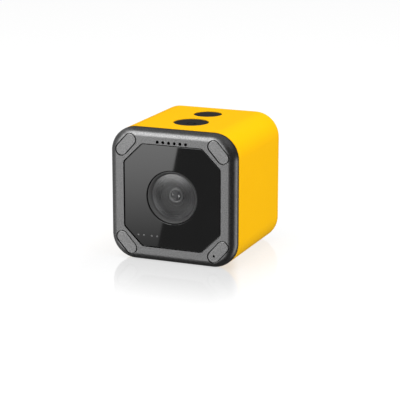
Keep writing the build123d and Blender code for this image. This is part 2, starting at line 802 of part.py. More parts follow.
def main_board():
    """Main circuit board, with four screw holes."""
    z_span = (MAIN_BOARD_Z, BOARD_TOP)
    board = block((-MAIN_BOARD_HALF_W, MAIN_BOARD_HALF_W), MAIN_BOARD_Y, z_span)
    for place in BOARD_POSTS:
        board -= post(SHANK_R, place, *z_span)
    return board


def main_board_screws():
    """Four screws down into the floor's posts."""
    return group([upright_screw(place, BOARD_TOP, BOARD_SCREW_TIP) for place in BOARD_POSTS])


def processor():
    """Processor package on the main board."""
    return block(PROCESSOR_X, PROCESSOR_Y, (BOARD_TOP, BOARD_TOP + CHIP_T))


def processor_shield():
    """Thin metal can over the processor."""

    def cover(margin, height):
        x_span = (PROCESSOR_X[0] - margin, PROCESSOR_X[1] + margin)
        y_span = (PROCESSOR_Y[0] - margin, PROCESSOR_Y[1] + margin)
        return block(x_span, y_span, (BOARD_TOP, BOARD_TOP + height))

    return cover(SHIELD_MARGIN, SHIELD_H) - cover(SHIELD_MARGIN - SHIELD_T, SHIELD_H - SHIELD_T)


def memory_chips():
    """Two memory packages on the underside of the main board."""
    low, high = MEMORY_X
    z_span = (MAIN_BOARD_Z - CHIP_T, MAIN_BOARD_Z)
    return group([block(x_span, MEMORY_Y, z_span) for x_span in ((-high, -low), MEMORY_X)])


def sensor_flex():
    """Flat cable from the back of the sensor board down to the main board."""
    x_span = (-SENSOR_FLEX_HALF_W, SENSOR_FLEX_HALF_W)
    back = FRONT + SENSOR_BOARD_SPAN[1]
    rise = block(x_span, (back, back + FLEX_T), (BOARD_TOP, BOARD_TOP + SENSOR_FLEX_RISE))
    return rise + block(x_span, (back, back + SENSOR_FLEX_RUN), (BOARD_TOP, BOARD_TOP + FLEX_T))


def wifi_antenna():
    """Thin antenna film with a folded track, stuck to the inside of the left wall."""
    wall_x = -WIDTH / 2 + WALL
    x_span = (wall_x, wall_x + ANTENNA_T)
    y_low, y_high = ANTENNA_Y
    from_front = (y_low, y_high - ANTENNA_CUT)
    from_rear = (y_low + ANTENNA_CUT, y_high)
    film = block(x_span, ANTENNA_Y, ANTENNA_Z)
    for fold, y_span in enumerate((from_rear, from_front, from_rear), start=1):
        z = ANTENNA_Z[0] + fold * ANTENNA_PITCH
        film -= block(x_span, y_span, (z, z + ANTENNA_CUT))
    return film


def mid_frame():
    """Upright plate between the lens and the battery, screwed to the side posts."""
    half_w = WIDTH / 2 - WALL - COVER_GAP
    frame = plate((-half_w, half_w), FRAME_Z, *FRAME_SPAN)
    frame -= plate(FRAME_WINDOW_X, FRAME_WINDOW_Z, *FRAME_SPAN)
    slot_x = (-FRAME_SLOT_HALF_W, FRAME_SLOT_HALF_W)
    frame -= plate(slot_x, (FRAME_Z[0], FRAME_SLOT_TOP), *FRAME_SPAN)
    for x, z in in_corners(FRAME_SCREW):
        frame -= disc(SHANK_R, *FRAME_SPAN, x, z)
    return frame


def mid_frame_screws():
    """Four screws from the front through the middle frame into the side posts."""
    places = in_corners(FRAME_SCREW)
    return group([lens_axis_screw(FRAME_SPAN[0], FRAME_SCREW_TIP, x, z) for x, z in places])


def battery_cell():
    """Flat pouch cell with rounded edges."""
    cell = block((-BATTERY_HALF_W, BATTERY_HALF_W), BATTERY_Y, BATTERY_Z)
    return fillet(cell.edges().filter_by(Axis.Z), BATTERY_EDGE_R)


def battery_adhesive():
    """Sticky sheet between the cell and the middle frame."""
    x_span = (-ADHESIVE_HALF_W, ADHESIVE_HALF_W)
    return block(x_span, (FRONT + FRAME_SPAN[1], BATTERY_Y[0]), ADHESIVE_Z)


# --- Sockets and card -------------------------------------------------------------------------


def usb_c_socket():
    """USB-C receptacle: an oval shell open to the rear, with a tongue inside."""
    middle_z = BOARD_TOP + USB_H / 2
    mouth = Plane(origin=(0, USB_Y[1], middle_z), x_dir=(1, 0, 0), z_dir=(0, -1, 0))
    depth = USB_Y[1] - USB_Y[0]

    def oval(inset):
        height = USB_H - 2 * inset
        return RectangleRounded(2 * (USB_HALF_W - inset), height, height / 2 - USB_OVAL_FLAT)

    socket = extrude(mouth * oval(0), depth) - extrude(mouth * oval(USB_WALL), depth - USB_BASE)
    return socket + block(
        (-TONGUE_HALF_W, TONGUE_HALF_W),
        (USB_Y[0] + USB_BASE / 2, USB_Y[1] - TONGUE_SETBACK),
        (middle_z - TONGUE_HALF_H, middle_z + TONGUE_HALF_H),
    )


CARD_MIDDLE_Z = MAIN_BOARD_Z - CARD_SOCKET_H / 2
CARD_Z = (CARD_MIDDLE_Z - CARD_T / 2, CARD_MIDDLE_Z + CARD_T / 2)


def micro_sd_socket():
    """Flat metal card socket under the main board, open to the rear."""
    z_span = (MAIN_BOARD_Z - CARD_SOCKET_H, MAIN_BOARD_Z)
    socket = block((-CARD_SOCKET_HALF_W, CARD_SOCKET_HALF_W), CARD_SOCKET_Y, z_span)
    return socket - block(
        (-CARD_HALF_W - CARD_GAP, CARD_HALF_W + CARD_GAP),
        (CARD_Y[0] - CARD_GAP, CARD_SOCKET_Y[1]),
        (CARD_Z[0] - CARD_GAP, CARD_Z[1] + CARD_GAP),
    )


def micro_sd_card():
    """Memory card: a small plate with a notch in one side and a lip at its outer end."""
    card = block((-CARD_HALF_W, CARD_HALF_W), CARD_Y, CARD_Z)
    card -= block((CARD_HALF_W - CARD_NOTCH_W, CARD_HALF_W), CARD_NOTCH_Y, CARD_Z)
    lip_x = (CARD_LIP_INSET - CARD_HALF_W, CARD_HALF_W - CARD_LIP_INSET)
    lip_z = (CARD_Z[0] - CARD_LIP, CARD_Z[0])
    return card + block(lip_x, (CARD_Y[1] - CARD_LIP_LENGTH, CARD_Y[1]), lip_z)


# --- Rear cover and port door -----------------------------------------------------------------


def door_outline(gap=0.0):
    """Spans in x and z of the port door, or of its opening."""
    half_w = DOOR_HALF_W + gap
    half_h = DOOR_HALF_H + gap
    return (-half_w, half_w), (DOOR_Z - half_h, DOOR_Z + half_h)


def rear_cover():
    """Flat rear panel with the port opening, countersunk corners and a latch pocket."""
    y_span = (COVER_INNER, COVER_OUTER)
    outline = RectangleRounded(COVER_W, COVER_H, COVER_R - COVER_GAP)
    cover = slab(outline, COVER_INNER - FRONT, COVER_OUTER - FRONT)
    cover = chamfer(cover.faces().sort_by(Axis.Y)[-1].edges(), COVER_EDGE)
    opening_x, opening_z = door_outline(DOOR_GAP)
    cover -= block(opening_x, y_span, opening_z)
    pocket_z = (DOOR_Z - LATCH_BASE_HALF_H - LATCH_CLEAR, DOOR_Z + LATCH_BASE_HALF_H + LATCH_CLEAR)
    pocket_x = (DOOR_HALF_W, LATCH_X[1] + LATCH_TRAVEL + DOOR_GAP)
    cover -= block(pocket_x, (COVER_INNER, LATCH_BASE_Y[1] + LATCH_CLEAR), pocket_z)
    for x, z in in_corners(REAR_SCREW):
        cover -= disc(HEAD_R + LOOSE_GAP, COVER_SCREW_SEAT, DEPTH, x, z)
        cover -= disc(SHANK_R + LOOSE_GAP, COVER_INNER - FRONT, DEPTH, x, z)
    low = opening_z[0] - HINGE_PIN_REACH
    high = opening_z[1] + HINGE_PIN_REACH
    return cover - post(HINGE_PIN_R, (HINGE_X, HINGE_Y), low, high)


def rear_cover_gasket():
    """Flat seal between the cover and the housing's rear ledge."""
    span = (REAR_LEDGE[1] - FRONT, COVER_INNER - FRONT)
    outer_w, outer_h = COVER_W - 2 * GASKET_MARGIN, COVER_H - 2 * GASKET_MARGIN
    outer = RectangleRounded(outer_w, outer_h, COVER_R - GASKET_MARGIN)
    opening_w = COVER_W - 2 * REAR_LEDGE_INSET
    opening_h = COVER_H - 2 * REAR_LEDGE_INSET
    gasket = slab(outer, *span) - slab(RectangleRounded(opening_w, opening_h, REAR_LEDGE_R), *span)
    for x, z in in_corners(REAR_SCREW):
        gasket -= disc(SHANK_R + LOOSE_GAP, *span, x, z)
    return gasket


def rear_cover_screws():
    """Four screws through the cover's corners."""
    places = in_corners(REAR_SCREW)
    return group([lens_axis_screw(COVER_SCREW_SEAT, COVER_SCREW_TIP, x, z) for x, z in places])


def port_door():
    """Hinged door over the sockets, its hinge edge rounded and a slot cut for the latch."""
    door_x, door_z = door_outline()
    y_span = (COVER_INNER, COVER_OUTER)
    door = block((HINGE_X, door_x[1]), y_span, door_z)
    door += post((COVER_OUTER - COVER_INNER) / 2, (HINGE_X, HINGE_Y), *door_z)
    door -= post(HINGE_PIN_R + RUNNING_GAP, (HINGE_X, HINGE_Y), *door_z)
    base_half = LATCH_BASE_HALF_H + LATCH_CLEAR
    grip_half = LATCH_GRIP_HALF_H + LATCH_CLEAR
    base_y = (LATCH_BASE_Y[0] - LATCH_CLEAR, LATCH_BASE_Y[1] + LATCH_CLEAR)
    slot_start = LATCH_X[0] - LATCH_CLEAR
    grip_end = LATCH_GRIP_X[1] + LATCH_TRAVEL + LATCH_CLEAR
    door -= block((slot_start, door_x[1]), base_y, (DOOR_Z - base_half, DOOR_Z + base_half))
    door -= block(
        (slot_start, grip_end),
        (base_y[0], COVER_OUTER),
        (DOOR_Z - grip_half, DOOR_Z + grip_half),
    )
    return door


def port_door_gasket():
    """Soft rim on the door's inner face that closes round the sockets."""

    def rim(inset):
        x_span = (PORT_SEAL_X[0] + inset, PORT_SEAL_X[1] - inset)
        half_h = PORT_SEAL_HALF_H - inset
        y_span = (COVER_INNER - PORT_SEAL_T, COVER_INNER)
        return block(x_span, y_span, (DOOR_Z - half_h, DOOR_Z + half_h))

    return rim(0) - rim(PORT_SEAL_W)


def port_door_hinge_pin():
    """Upright steel pin fixed in the cover above and below the door."""
    low = DOOR_Z - DOOR_HALF_H - DOOR_GAP - HINGE_PIN_REACH
    high = DOOR_Z + DOOR_HALF_H + DOOR_GAP + HINGE_PIN_REACH
    return post(HINGE_PIN_R, (HINGE_X, HINGE_Y), low, high)


def port_door_latch():
    """Slide latch: a thin tongue held under the door's face, with a ribbed grip."""
    tongue_z = (DOOR_Z - LATCH_BASE_HALF_H, DOOR_Z + LATCH_BASE_HALF_H)
    grip_z = (DOOR_Z - LATCH_GRIP_HALF_H, DOOR_Z + LATCH_GRIP_HALF_H)
    latch = block(LATCH_X, LATCH_BASE_Y, tongue_z)
    latch += block(LATCH_GRIP_X, (LATCH_BASE_Y[0], COVER_OUTER - LATCH_SETBACK), grip_z)
    for index in range(RIBS):
        x = LATCH_GRIP_X[0] + RIB_START + index * RIB_PITCH
        latch -= block((x, x + RIB_W), (COVER_OUTER - RIB_DEPTH, COVER_OUTER), grip_z)
    return latch


# --- Export -----------------------------------------------------------------------------------

SINGLE_PARTS = [
    body_shell,
    tripod_insert,
    front_bezel,
    bezel_gasket,
    bezel_screws,
    front_window,
    window_seal,
    front_chassis,
    chassis_screws,
    status_light_guides,
    status_leds,
    status_board,
    speaker_mesh,
    speaker,
    microphone,
    lens_trim_ring,
    lens_front_element,
    lens_seal,
    lens_barrel,
    lens_inner_element,
    lens_middle_element,
    lens_rear_element,
    lens_retainer_ring,
    lens_holder,
    ir_filter,
    image_sensor,
    sensor_board,
    shutter_button,
    power_button,
    button_board,
    button_switches,
    button_board_screws,
    button_flex,
    main_board,
    main_board_screws,
    processor,
    processor_shield,
    memory_chips,
    sensor_flex,
    wifi_antenna,
    mid_frame,
    mid_frame_screws,
    battery_cell,
    battery_adhesive,
    usb_c_socket,
    micro_sd_socket,
    micro_sd_card,
    rear_cover,
    rear_cover_gasket,
    rear_cover_screws,
    port_door,
    port_door_gasket,
    port_door_hinge_pin,
    port_door_latch,
]


def all_parts():
    """Every node's name and shape."""
    parts = {make.__name__: make() for make in SINGLE_PARTS}
    for name in CORNERS:
        parts[f"corner_pad_{name}"] = corner_pad(name)
    parts["shutter_button_guide"] = button_guide(SHUTTER_PLACE, SHUTTER_R)
    parts["power_button_guide"] = button_guide(POWER_PLACE, POWER_R)
    return parts


os.makedirs("parts", exist_ok=True)
for node, shape in all_parts().items():
    export_step(shape, f"parts/{node}.step")
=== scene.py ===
"""Finishes, small surface detail and a plain studio for the cube action camera."""

import math

import bmesh
import bpy
import numpy as np
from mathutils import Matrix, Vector


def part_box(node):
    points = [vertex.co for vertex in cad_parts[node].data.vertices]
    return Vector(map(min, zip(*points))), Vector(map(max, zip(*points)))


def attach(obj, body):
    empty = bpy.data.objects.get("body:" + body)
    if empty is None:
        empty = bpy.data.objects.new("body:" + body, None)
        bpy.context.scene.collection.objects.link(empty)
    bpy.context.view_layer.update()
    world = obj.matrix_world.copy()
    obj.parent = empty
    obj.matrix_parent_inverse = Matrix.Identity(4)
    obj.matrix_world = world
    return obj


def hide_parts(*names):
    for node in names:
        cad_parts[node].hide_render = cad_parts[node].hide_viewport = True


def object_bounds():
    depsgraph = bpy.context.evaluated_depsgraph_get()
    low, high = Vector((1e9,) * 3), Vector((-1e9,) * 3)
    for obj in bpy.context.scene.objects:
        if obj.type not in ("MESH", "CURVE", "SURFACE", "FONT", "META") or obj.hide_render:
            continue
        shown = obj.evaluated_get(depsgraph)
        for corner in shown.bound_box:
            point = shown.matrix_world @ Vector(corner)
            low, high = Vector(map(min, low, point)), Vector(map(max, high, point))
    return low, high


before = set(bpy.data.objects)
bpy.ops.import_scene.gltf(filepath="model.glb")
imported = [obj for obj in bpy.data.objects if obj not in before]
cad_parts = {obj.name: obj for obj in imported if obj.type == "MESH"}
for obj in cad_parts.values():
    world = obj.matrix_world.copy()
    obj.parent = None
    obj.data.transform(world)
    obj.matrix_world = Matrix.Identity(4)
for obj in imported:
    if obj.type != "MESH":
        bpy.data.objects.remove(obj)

bl_info = {
    "name": "Cube action camera",
    "version": (1, 0, 0),
    "blender": (4, 5, 0),
    "location": "View3D > Sidebar > Action Camera",
    "description": "Finishes the packed parts of a cube action camera and builds its studio",
    "category": "Object",
}

CAD_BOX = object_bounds()
MM = 0.001

LOW, HIGH = CAD_BOX
MIDDLE = (LOW + HIGH) / 2
FRONT_Y = LOW.y

# Colours of the pieces that have no setting of their own
SPEAKER_CLOTH = (0.03, 0.03, 0.03)
INNER_GLASS = (0.01, 0.012, 0.02)
FILTER_GLASS = (0.1, 0.25, 0.3)
LENS_BLACK = (0.02, 0.02, 0.021)
LATCH_GREY = (0.06, 0.06, 0.062)
CARD_BLACK = (0.02, 0.02, 0.02)
SCREW_STEEL = (0.45, 0.45, 0.46)
BUSH_BRASS = (0.6, 0.42, 0.17)
BOARD_GREEN = (0.01, 0.1, 0.04)
CHIP_BLACK = (0.02, 0.02, 0.02)
CAN_TIN = (0.5, 0.5, 0.5)
FILM_COPPER = (0.5, 0.2, 0.03)
BATTERY_FOIL = (0.5, 0.51, 0.53)
TAPE_GREY = (0.1, 0.1, 0.1)
GUIDE_CLEAR = (0.7, 0.7, 0.66)
CONTACT_GOLD = (0.8, 0.55, 0.2)

# Grain of smooth mouldings, the rear cover's grain over the buttons', and the scale of brushed
# metals' scratches along each axis, where less is longer
FINE_GRAIN = 0.1 * MM
COVER_COARSER = 1.6
EVEN = (1, 1, 1)
ALONG_Y = (1, 0.2, 1)
ALONG_Z = (1, 1, 0.2)

# Lens glass: radii at which its clear middle ends and at which it is densest
# The lighter, denser rim of the glass is painted light over the shaded barrel wall behind it
FRONT_GLASS_R = (3.6 * MM, 6.6 * MM)
INNER_GLASS_R = (1.0 * MM, 2.4 * MM)
FILTER_GLASS_R = (3.0 * MM, 5.0 * MM)

PAD_SIDES = ("top_left", "top_right", "bottom_left", "bottom_right")

# Status marks: the place of each along the row, from 0 to 1, and its number of lobes
MARKS = ((0.0, 3), (0.295, 0), (0.716, 3), (1.0, 0))
MARK_LOBE = 0.18  # height of a lobe, as a share of the mark's radius
MARK_RISE = 0.012 * MM

# Conical mouth of the lens
MOUTH_OUTER_R = 6.0 * MM
MOUTH_INNER_R = 2.45 * MM
MOUTH_DEPTH = 1.05 * MM
MOUTH_RIDGE_W = 0.16 * MM
MOUTH_WALL = 0.03 * MM
INNER_RIM_DEPTH = 0.2 * MM
INNER_RIM_SQUASH = 0.8

# Tripod bush
THREAD_CREST_R = 2.6 * MM
BUSH_ROOF = 0.7 * MM
BUSH_MOUTH = 0.4 * MM
BUSH_LEAD = 0.45 * MM

# Contacts on the tongue of the USB-C socket
CONTACTS = 12
CONTACT_PITCH = 0.5 * MM
CONTACT_HALF_W = 0.14 * MM
CONTACT_RISE = 0.03 * MM
CONTACT_FALL = 0.4  # how much lower a contact's edge is than its middle, as a share of its rise
CONTACT_RUN = (4.0 * MM, 1.0 * MM)
TONGUE_HALF_T = 0.35 * MM

# Grids of the worked surfaces
TURNED_COLUMNS = 96
BUSH_ROWS = 120
RING_POINTS = 25
BAFFLE_POINTS = 121
MARK_COLUMNS, MARK_RINGS = 48, 6
CONTACT_COLUMNS, CONTACT_RINGS = 32, 4
CROWN_BACK = -0.5  # height of a crowned piece's flat back, as a share of its rise
MERGE_WITHIN = 1e-7

# Camera: sensor width in millimetres, and the nearest and farthest sight in metres
SENSOR_WIDTH = 36.0
CLIP = (0.01, 20.0)

# Studio lamps: name, place in metres, and the setting that holds its watts
LAMP_SIZE = 0.5
LAMPS = (
    ("light_top", (-0.05, -0.1, 0.62), "key"),
    ("light_side", (0.6, -0.1, 0.2), "fill"),
    ("light_front", (-0.25, -0.6, 0.25), "front"),
)
# Two small lamps that only the inner lens element reflects: direction from the lens, and watts
GLINTS = (((-0.091, -0.952, -0.294), 0.012), ((-0.694, -0.696, -0.194), 0.006))

# Cards in the reflected surroundings. Each pair is where an edge starts and ends, as a part of
# the direction of sight: across is to the right, along is to the rear, up is up.
BASE_GLOW = 0.07
CEILING_UP, CEILING_GLOW = (0.3, 0.8), 0.2
SOFTBOX_LOW, SOFTBOX_HIGH = (-0.19, 0.12), (0.9, 0.55)
SOFTBOX_FRONT = (0.1, -0.35)
SOFTBOX_RIGHT, SOFTBOX_LEFT = (0.0, -0.24), (-0.8, -0.5)
SOFTBOX_GLOW = 2.2
BEHIND_ALONG, BEHIND_UP, BEHIND_RIGHT = (-0.5, 0.5), (-0.05, -0.2), (0.5, 0.8)
LEFT_ACROSS, LEFT_GLOW = (-0.45, -0.8), 0.25
FRONT_ALONG = (-0.4, -0.7)
STRIP_LEFT, STRIP_RIGHT = (-0.325, -0.3), (-0.24, -0.28)
SILL_HIGH, SILL_LOW, SILL_RIGHT, SILL_GLOW = (-0.285, -0.31), (-0.5, -0.45), (0.05, -0.2), 0.9
WINDOW_CARD_LEFT = (-0.62, -0.5)
# The window card's edge crosses the window at these places: x, and height from the middle
CARD_TOP, CARD_FOOT = (2.2 * MM, 14.8 * MM), (-4.0 * MM, -14.3 * MM)
CARD_SOFTNESS = 0.0012
CARD_RISE, CARD_GLOW = (-0.30, -0.20), (0.02, 1.85)
CARD_FALL, CARD_DIM = (-0.19, -0.1), (1.0, 0.4)

# Floor
FLOOR_HALF = 6.0
FLOOR_Z = -0.02 * MM
VEILS_Z = (-0.015 * MM, -0.01 * MM)
VEILED_FROM, VEILED_TO = 1.5, 3.5  # between these numbers of clear sheets passed, white is seen
MIRROR_SLANT = 0.415  # sideways travel of the camera's view for each step of depth
SIDE_STRETCH = 4  # how much sooner the reflection fades sideways than forwards, squared
BESIDE_LOSS = 0.6  # share of the reflection lost beside the object
FLOOR_DRIFT = 0.01
FLOOR_GLOSS = 0.06


# --- Shader building --------------------------------------------------------------------------


class Value:
    """A shader number that takes part in arithmetic and adds the Math nodes it needs."""

    def __init__(self, tree, output):
        self.tree = tree
        self.output = output

    def math(self, operation, *terms):
        node = self.tree.nodes.new("ShaderNodeMath")
        node.operation = operation
        for slot, term in zip(node.inputs, terms):
            join(self.tree, term, slot)
        return Value(self.tree, node.outputs[0])

    def __add__(self, other):
        return self.math("ADD", self, other)

    def __radd__(self, other):
        return self.math("ADD", other, self)

    def __sub__(self, other):
        return self.math("SUBTRACT", self, other)

    def __rsub__(self, other):
        return self.math("SUBTRACT", other, self)

    def __mul__(self, other):
        return self.math("MULTIPLY", self, other)

    def __rmul__(self, other):
        return self.math("MULTIPLY", other, self)

    def __pow__(self, other):
        return self.math("POWER", self, other)

    def above(self, other):
        return self.math("GREATER_THAN", self, other)

    def at_least(self, other):
        return self.math("MAXIMUM", self, other)

    def absolute(self):
        return self.math("ABSOLUTE", self)

    def sine(self):
        return self.math("SINE", self)


def join(tree, value, slot):
    """Links a shader value to a socket, or sets a plain number or colour on it."""
    if isinstance(value, Value):
        tree.links.new(value.output, slot)
    else:
        slot.default_value = value


class Shader:
    """A node tree under construction."""

    def __init__(self, tree):
        self.tree = tree
        tree.nodes.clear()

    def node(self, kind, settings=None, inputs=None, output=0):
        """Adds a node: its settings first, then its inputs' values or links."""
        node = self.tree.nodes.new("ShaderNode" + kind)
        for name, value in (settings or {}).items():
            setattr(node, name, value)
        for name, value in (inputs or {}).items():
            join(self.tree, value, node.inputs[name])
        return Value(self.tree, node.outputs[output])

    def twin(self, value, output):
        """Another output of the node that gave a value."""
        return Value(self.tree, value.output.node.outputs[output])

    def colour_mix(self, factor, first, second):
        """First colour at factor 0, second at 1."""
        ends = {0: factor, 6: first, 7: second}
        return self.node("Mix", {"data_type": "RGBA"}, ends, output=2)

    def fade(self, value, start, end, low=0.0, high=1.0):
        """Smooth step of a value from low at start to high at end."""
        ends = {"Value": value, 1: start, 2: end, 3: low, 4: high}
        return self.node("MapRange", {"interpolation_type": "SMOOTHSTEP"}, ends)

    def place(self):
        """The piece's own coordinates."""
        return self.node("TexCoord", output="Object")

    def split(self, vector):
        """A vector's three components."""
        node = self.tree.nodes.new("ShaderNodeSeparateXYZ")
        join(self.tree, vector, node.inputs[0])
        return [Value(self.tree, output) for output in node.outputs]

    def noise(self, size, detail=2.0, stretch=None):
        """Noise from 0 to 1 whose grains are about size metres across."""
        vector = self.place()
        if stretch:
            vector = self.node("Mapping", None, {"Vector": vector, "Scale": stretch})
        inputs = {"Vector": vector, "Scale": 1.0 / size, "Detail": detail}
        return self.node("TexNoise", None, inputs)

    def bump(self, height, distance, strength=1.0):
        """Normal from a height, distance metres deep."""
        inputs = {"Height": height, "Distance": distance, "Strength": strength}
        return self.node("Bump", None, inputs)

    def principled(self, **inputs):
        """Principled surface; underscores in names stand for spaces."""
        named = {name.replace("_", " "): value for name, value in inputs.items()}
        return self.node("BsdfPrincipled", None, named)

    def ray(self, fact):
        """One fact of the light path, such as Is Camera Ray."""
        return self.node("LightPath", output=fact)

    def surface(self, shader, kind="OutputMaterial"):
        """Ends the tree with its output."""
        end = self.tree.nodes.new("ShaderNode" + kind)
        join(self.tree, shader, end.inputs["Surface"])


def new_shader(name):
    """A fresh material and the shader builder of its tree."""
    material = bpy.data.materials.new(name)
    material.use_nodes = True
    return material, Shader(material.node_tree)


def rgba(colour):
    """A colour property as four numbers."""
    return (*colour[:3], 1.0)


def grey(shade):
    """A neutral colour."""
    return (shade, shade, shade, 1.0)


def scaled(colour, factor):
    """A lighter or darker colour."""
    return tuple(min(1.0, part * factor) for part in colour[:3]) + (1.0,)


def dress(material, *nodes):
    """Gives CAD nodes a material."""
    for name in nodes:
        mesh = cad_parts[name].data
        mesh.materials.clear()
        mesh.materials.append(material)


# --- Finishes ---------------------------------------------------------------------------------


def satin_plastic(name, colour, roughness, grain, sheen=0.5):
    """Moulded plastic: faint colour drift, and a fine spark-eroded grain in the gloss."""
    material, shader = new_shader(name)
    drift = shader.noise(9 * MM)
    fine = shader.noise(grain, detail=3.0)
    tone = shader.colour_mix(drift, scaled(colour, 0.985), scaled(colour, 1.015))
    gloss = roughness + (fine - 0.5) * 0.08
    normal = shader.bump(fine, grain * 0.05, 0.35)
    surface = {"Specular_IOR_Level": sheen, "Base_Color": tone, "Roughness": gloss}
    shader.surface(shader.principled(Normal=normal, **surface))
    return material


def grained_metal(name, colour, roughness, grain):
    """Metallic coating: fine light and dark flakes, and a slight pebbled relief."""
    material, shader = new_shader(name)
    flakes = shader.noise(grain, detail=4.0)
    pebbles = shader.noise(grain * 1.8, detail=2.0)
    speckle = shader.fade(flakes, 0.32, 0.68)
    tone = shader.colour_mix(speckle, scaled(colour, 0.74), scaled(colour, 1.26))
    gloss = roughness + (pebbles - 0.5) * 0.12
    normal = shader.bump(pebbles, grain * 0.06, 0.5)
    base = shader.principled(Base_Color=tone, Metallic=1.0, Roughness=gloss, Normal=normal)
    shader.surface(base)
    return material


def polished_window(name, colour, gloss):
    """Polished black window with a trace of haze."""
    material, shader = new_shader(name)
    haze = shader.noise(6 * MM)
    tone = shader.colour_mix(haze, scaled(colour, 0.9), scaled(colour, 1.1))
    shader.surface(
        shader.principled(Base_Color=tone, Roughness=gloss + haze * 0.01, IOR=1.75)
    )
    return material


def rubber(name, colour):
    """Matt rubber with a fine dusty grain."""
    material, shader = new_shader(name)
    dust = shader.noise(0.12 * MM, detail=3.0)
    tone = shader.colour_mix(dust, scaled(colour, 0.7), scaled(colour, 1.4))
    normal = shader.bump(dust, 0.01 * MM, 0.4)
    shader.surface(shader.principled(Base_Color=tone, Roughness=0.8, Normal=normal))
    return material


def turned_metal(name, colour, roughness, pitch):
    """Machined metal with fine rings about the upright axis."""
    material, shader = new_shader(name)
    rings = shader.node(
        "TexWave",
        {"wave_type": "RINGS", "rings_direction": "Z"},
        {"Vector": shader.place(), "Scale": 0.16 / pitch, "Distortion": 0.4, "Detail": 1.0},
        output="Fac",
    )
    tone = shader.colour_mix(rings, scaled(colour, 0.85), scaled(colour, 1.1))
    normal = shader.bump(rings, 0.01 * MM, 0.3)
    shader.surface(
        shader.principled(Base_Color=tone, Metallic=1.0, Roughness=roughness, Normal=normal)
    )
    return material


def brushed_metal(name, colour, roughness, stretch):
    """Brushed metal: long fine scratches along one direction."""
    material, shader = new_shader(name)
    scratches = shader.noise(0.1 * MM, detail=3.0, stretch=stretch)
    tone = shader.colour_mix(scratches, scaled(colour, 0.8), scaled(colour, 1.15))
    gloss = roughness + (scratches - 0.5) * 0.15
    normal = shader.bump(scratches, 0.006 * MM, 0.3)
    shader.surface(
        shader.principled(Base_Color=tone, Metallic=1.0, Roughness=gloss, Normal=normal)
    )
    return material


def coated_glass(name, tint, clarity, haze, radii):
    """Coated lens glass: clear out to the first radius, denser and lighter towards the second; the
    lighter rim is painted light over the shaded barrel wall behind the glass.
    """
    material, shader = new_shader(name)
    x, _, z = shader.split(shader.place())
    up = z - MIDDLE.z
    rim = shader.fade((x * x + up * up) ** 0.5, *radii)
    smear = shader.noise(5 * MM)
    # Lighter tint towards the rim: painted light where the shaded barrel wall would show through
    tone = shader.colour_mix(rim, rgba(tint), scaled(tint, 1.25))
    cover = (1 - clarity) + rim * clarity
    base = shader.principled(
        Base_Color=tone,
        Roughness=haze + smear * 0.02,
        IOR=1.8,
        Alpha=cover,
    )
    shader.surface(base)
    return material


def circuit_board(name, colour):
    """Solder mask over a maze of copper tracks."""
    material, shader = new_shader(name)
    cells = shader.node(
        "TexBrick",
        {"offset": 0.5, "squash": 0.6},
        {
            "Vector": shader.place(),
            "Scale": 600.0,
            "Mortar Size": 0.02,
            "Color1": scaled(colour, 0.8),
            "Color2": scaled(colour, 1.1),
            "Mortar": scaled(colour, 2.2),
        },
    )
    tracks = shader.twin(cells, "Fac")
    normal = shader.bump(tracks, 0.02 * MM, 0.5)
    shader.surface(shader.principled(Base_Color=cells, Roughness=0.3, Normal=normal))
    return material


def creased_foil(name, colour):
    """Pouch foil with soft creases."""
    material, shader = new_shader(name)
    creases = shader.noise(2.5 * MM, detail=4.0)
    tone = shader.colour_mix(creases, scaled(colour, 0.75), scaled(colour, 1.1))
    normal = shader.bump(creases, 0.2 * MM, 0.6)
    shader.surface(
        shader.principled(Base_Color=tone, Metallic=0.8, Roughness=0.35, Normal=normal)
    )
    return material


def striped_film(name, colour, pitch):
    """Flexible circuit film with parallel copper lines."""
    material, shader = new_shader(name)
    x, _, _ = shader.split(shader.place())
    lines = (x * (2 * math.pi / pitch)).sine()
    tone = shader.colour_mix(shader.fade(lines, -0.2, 0.2), scaled(colour, 0.6), rgba(colour))
    shader.surface(shader.principled(Base_Color=tone, Roughness=0.35))
    return material


def woven_cloth(name, colour):
    """Fine square weave of dark threads."""
    material, shader = new_shader(name)
    x, _, z = shader.split(shader.place())
    turn = 2 * math.pi / (0.12 * MM)
    weave = (x * turn).sine() * (z * turn).sine()
    tone = shader.colour_mix(shader.fade(weave, -0.5, 0.5), scaled(colour, 0.4), rgba(colour))
    normal = shader.bump(weave, 0.03 * MM, 0.6)
    shader.surface(shader.principled(Base_Color=tone, Roughness=0.9, Normal=normal))
    return material


# --- Worked surfaces --------------------------------------------------------------------------


def piece_from_grid(name, grid, material, body):
    """Mesh from a grid of points whose columns wrap round; doubled points at poles are merged."""
    rows, columns, _ = grid.shape
    index = np.arange(rows * columns).reshape(rows, columns)
    onward = np.roll(index, -1, axis=1)
    quads = np.stack([index[:-1], onward[:-1], onward[1:], index[1:]], axis=-1).reshape(-1, 4)
    mesh = bpy.data.meshes.new(name)
    mesh.from_pydata(grid.reshape(-1, 3).tolist(), [], quads.tolist())
    merge_doubles(mesh)
    mesh.polygons.foreach_set("use_smooth", np.ones(len(mesh.polygons), bool))
    mesh.materials.append(material)
    piece = bpy.data.objects.new(name, mesh)
    bpy.context.scene.collection.objects.link(piece)
    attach(piece, body)
    return piece


def merge_doubles(mesh):
    """Merges points that coincide and turns the faces outwards."""
    work = bmesh.new()
    work.from_mesh(mesh)
    bmesh.ops.remove_doubles(work, verts=work.verts, dist=MERGE_WITHIN)
    bmesh.ops.recalc_face_normals(work, faces=work.faces)
    work.to_mesh(mesh)
    work.free()


def around(columns):
    """Evenly spaced angles once round."""
    return np.linspace(0, 2 * math.pi, columns, endpoint=False)


def turned_grid(radius, depth, centre):
    """Profile turned about the lens axis: x = r cos a, z = r sin a, y = front plane + depth."""
    angle = around(TURNED_COLUMNS)
    x = radius[:, None] * np.cos(angle) + centre[0]
    z = radius[:, None] * np.sin(angle) + centre[2]
    y = np.broadcast_to((depth + FRONT_Y)[:, None], x.shape)
    return np.stack([x, y, z], axis=-1)


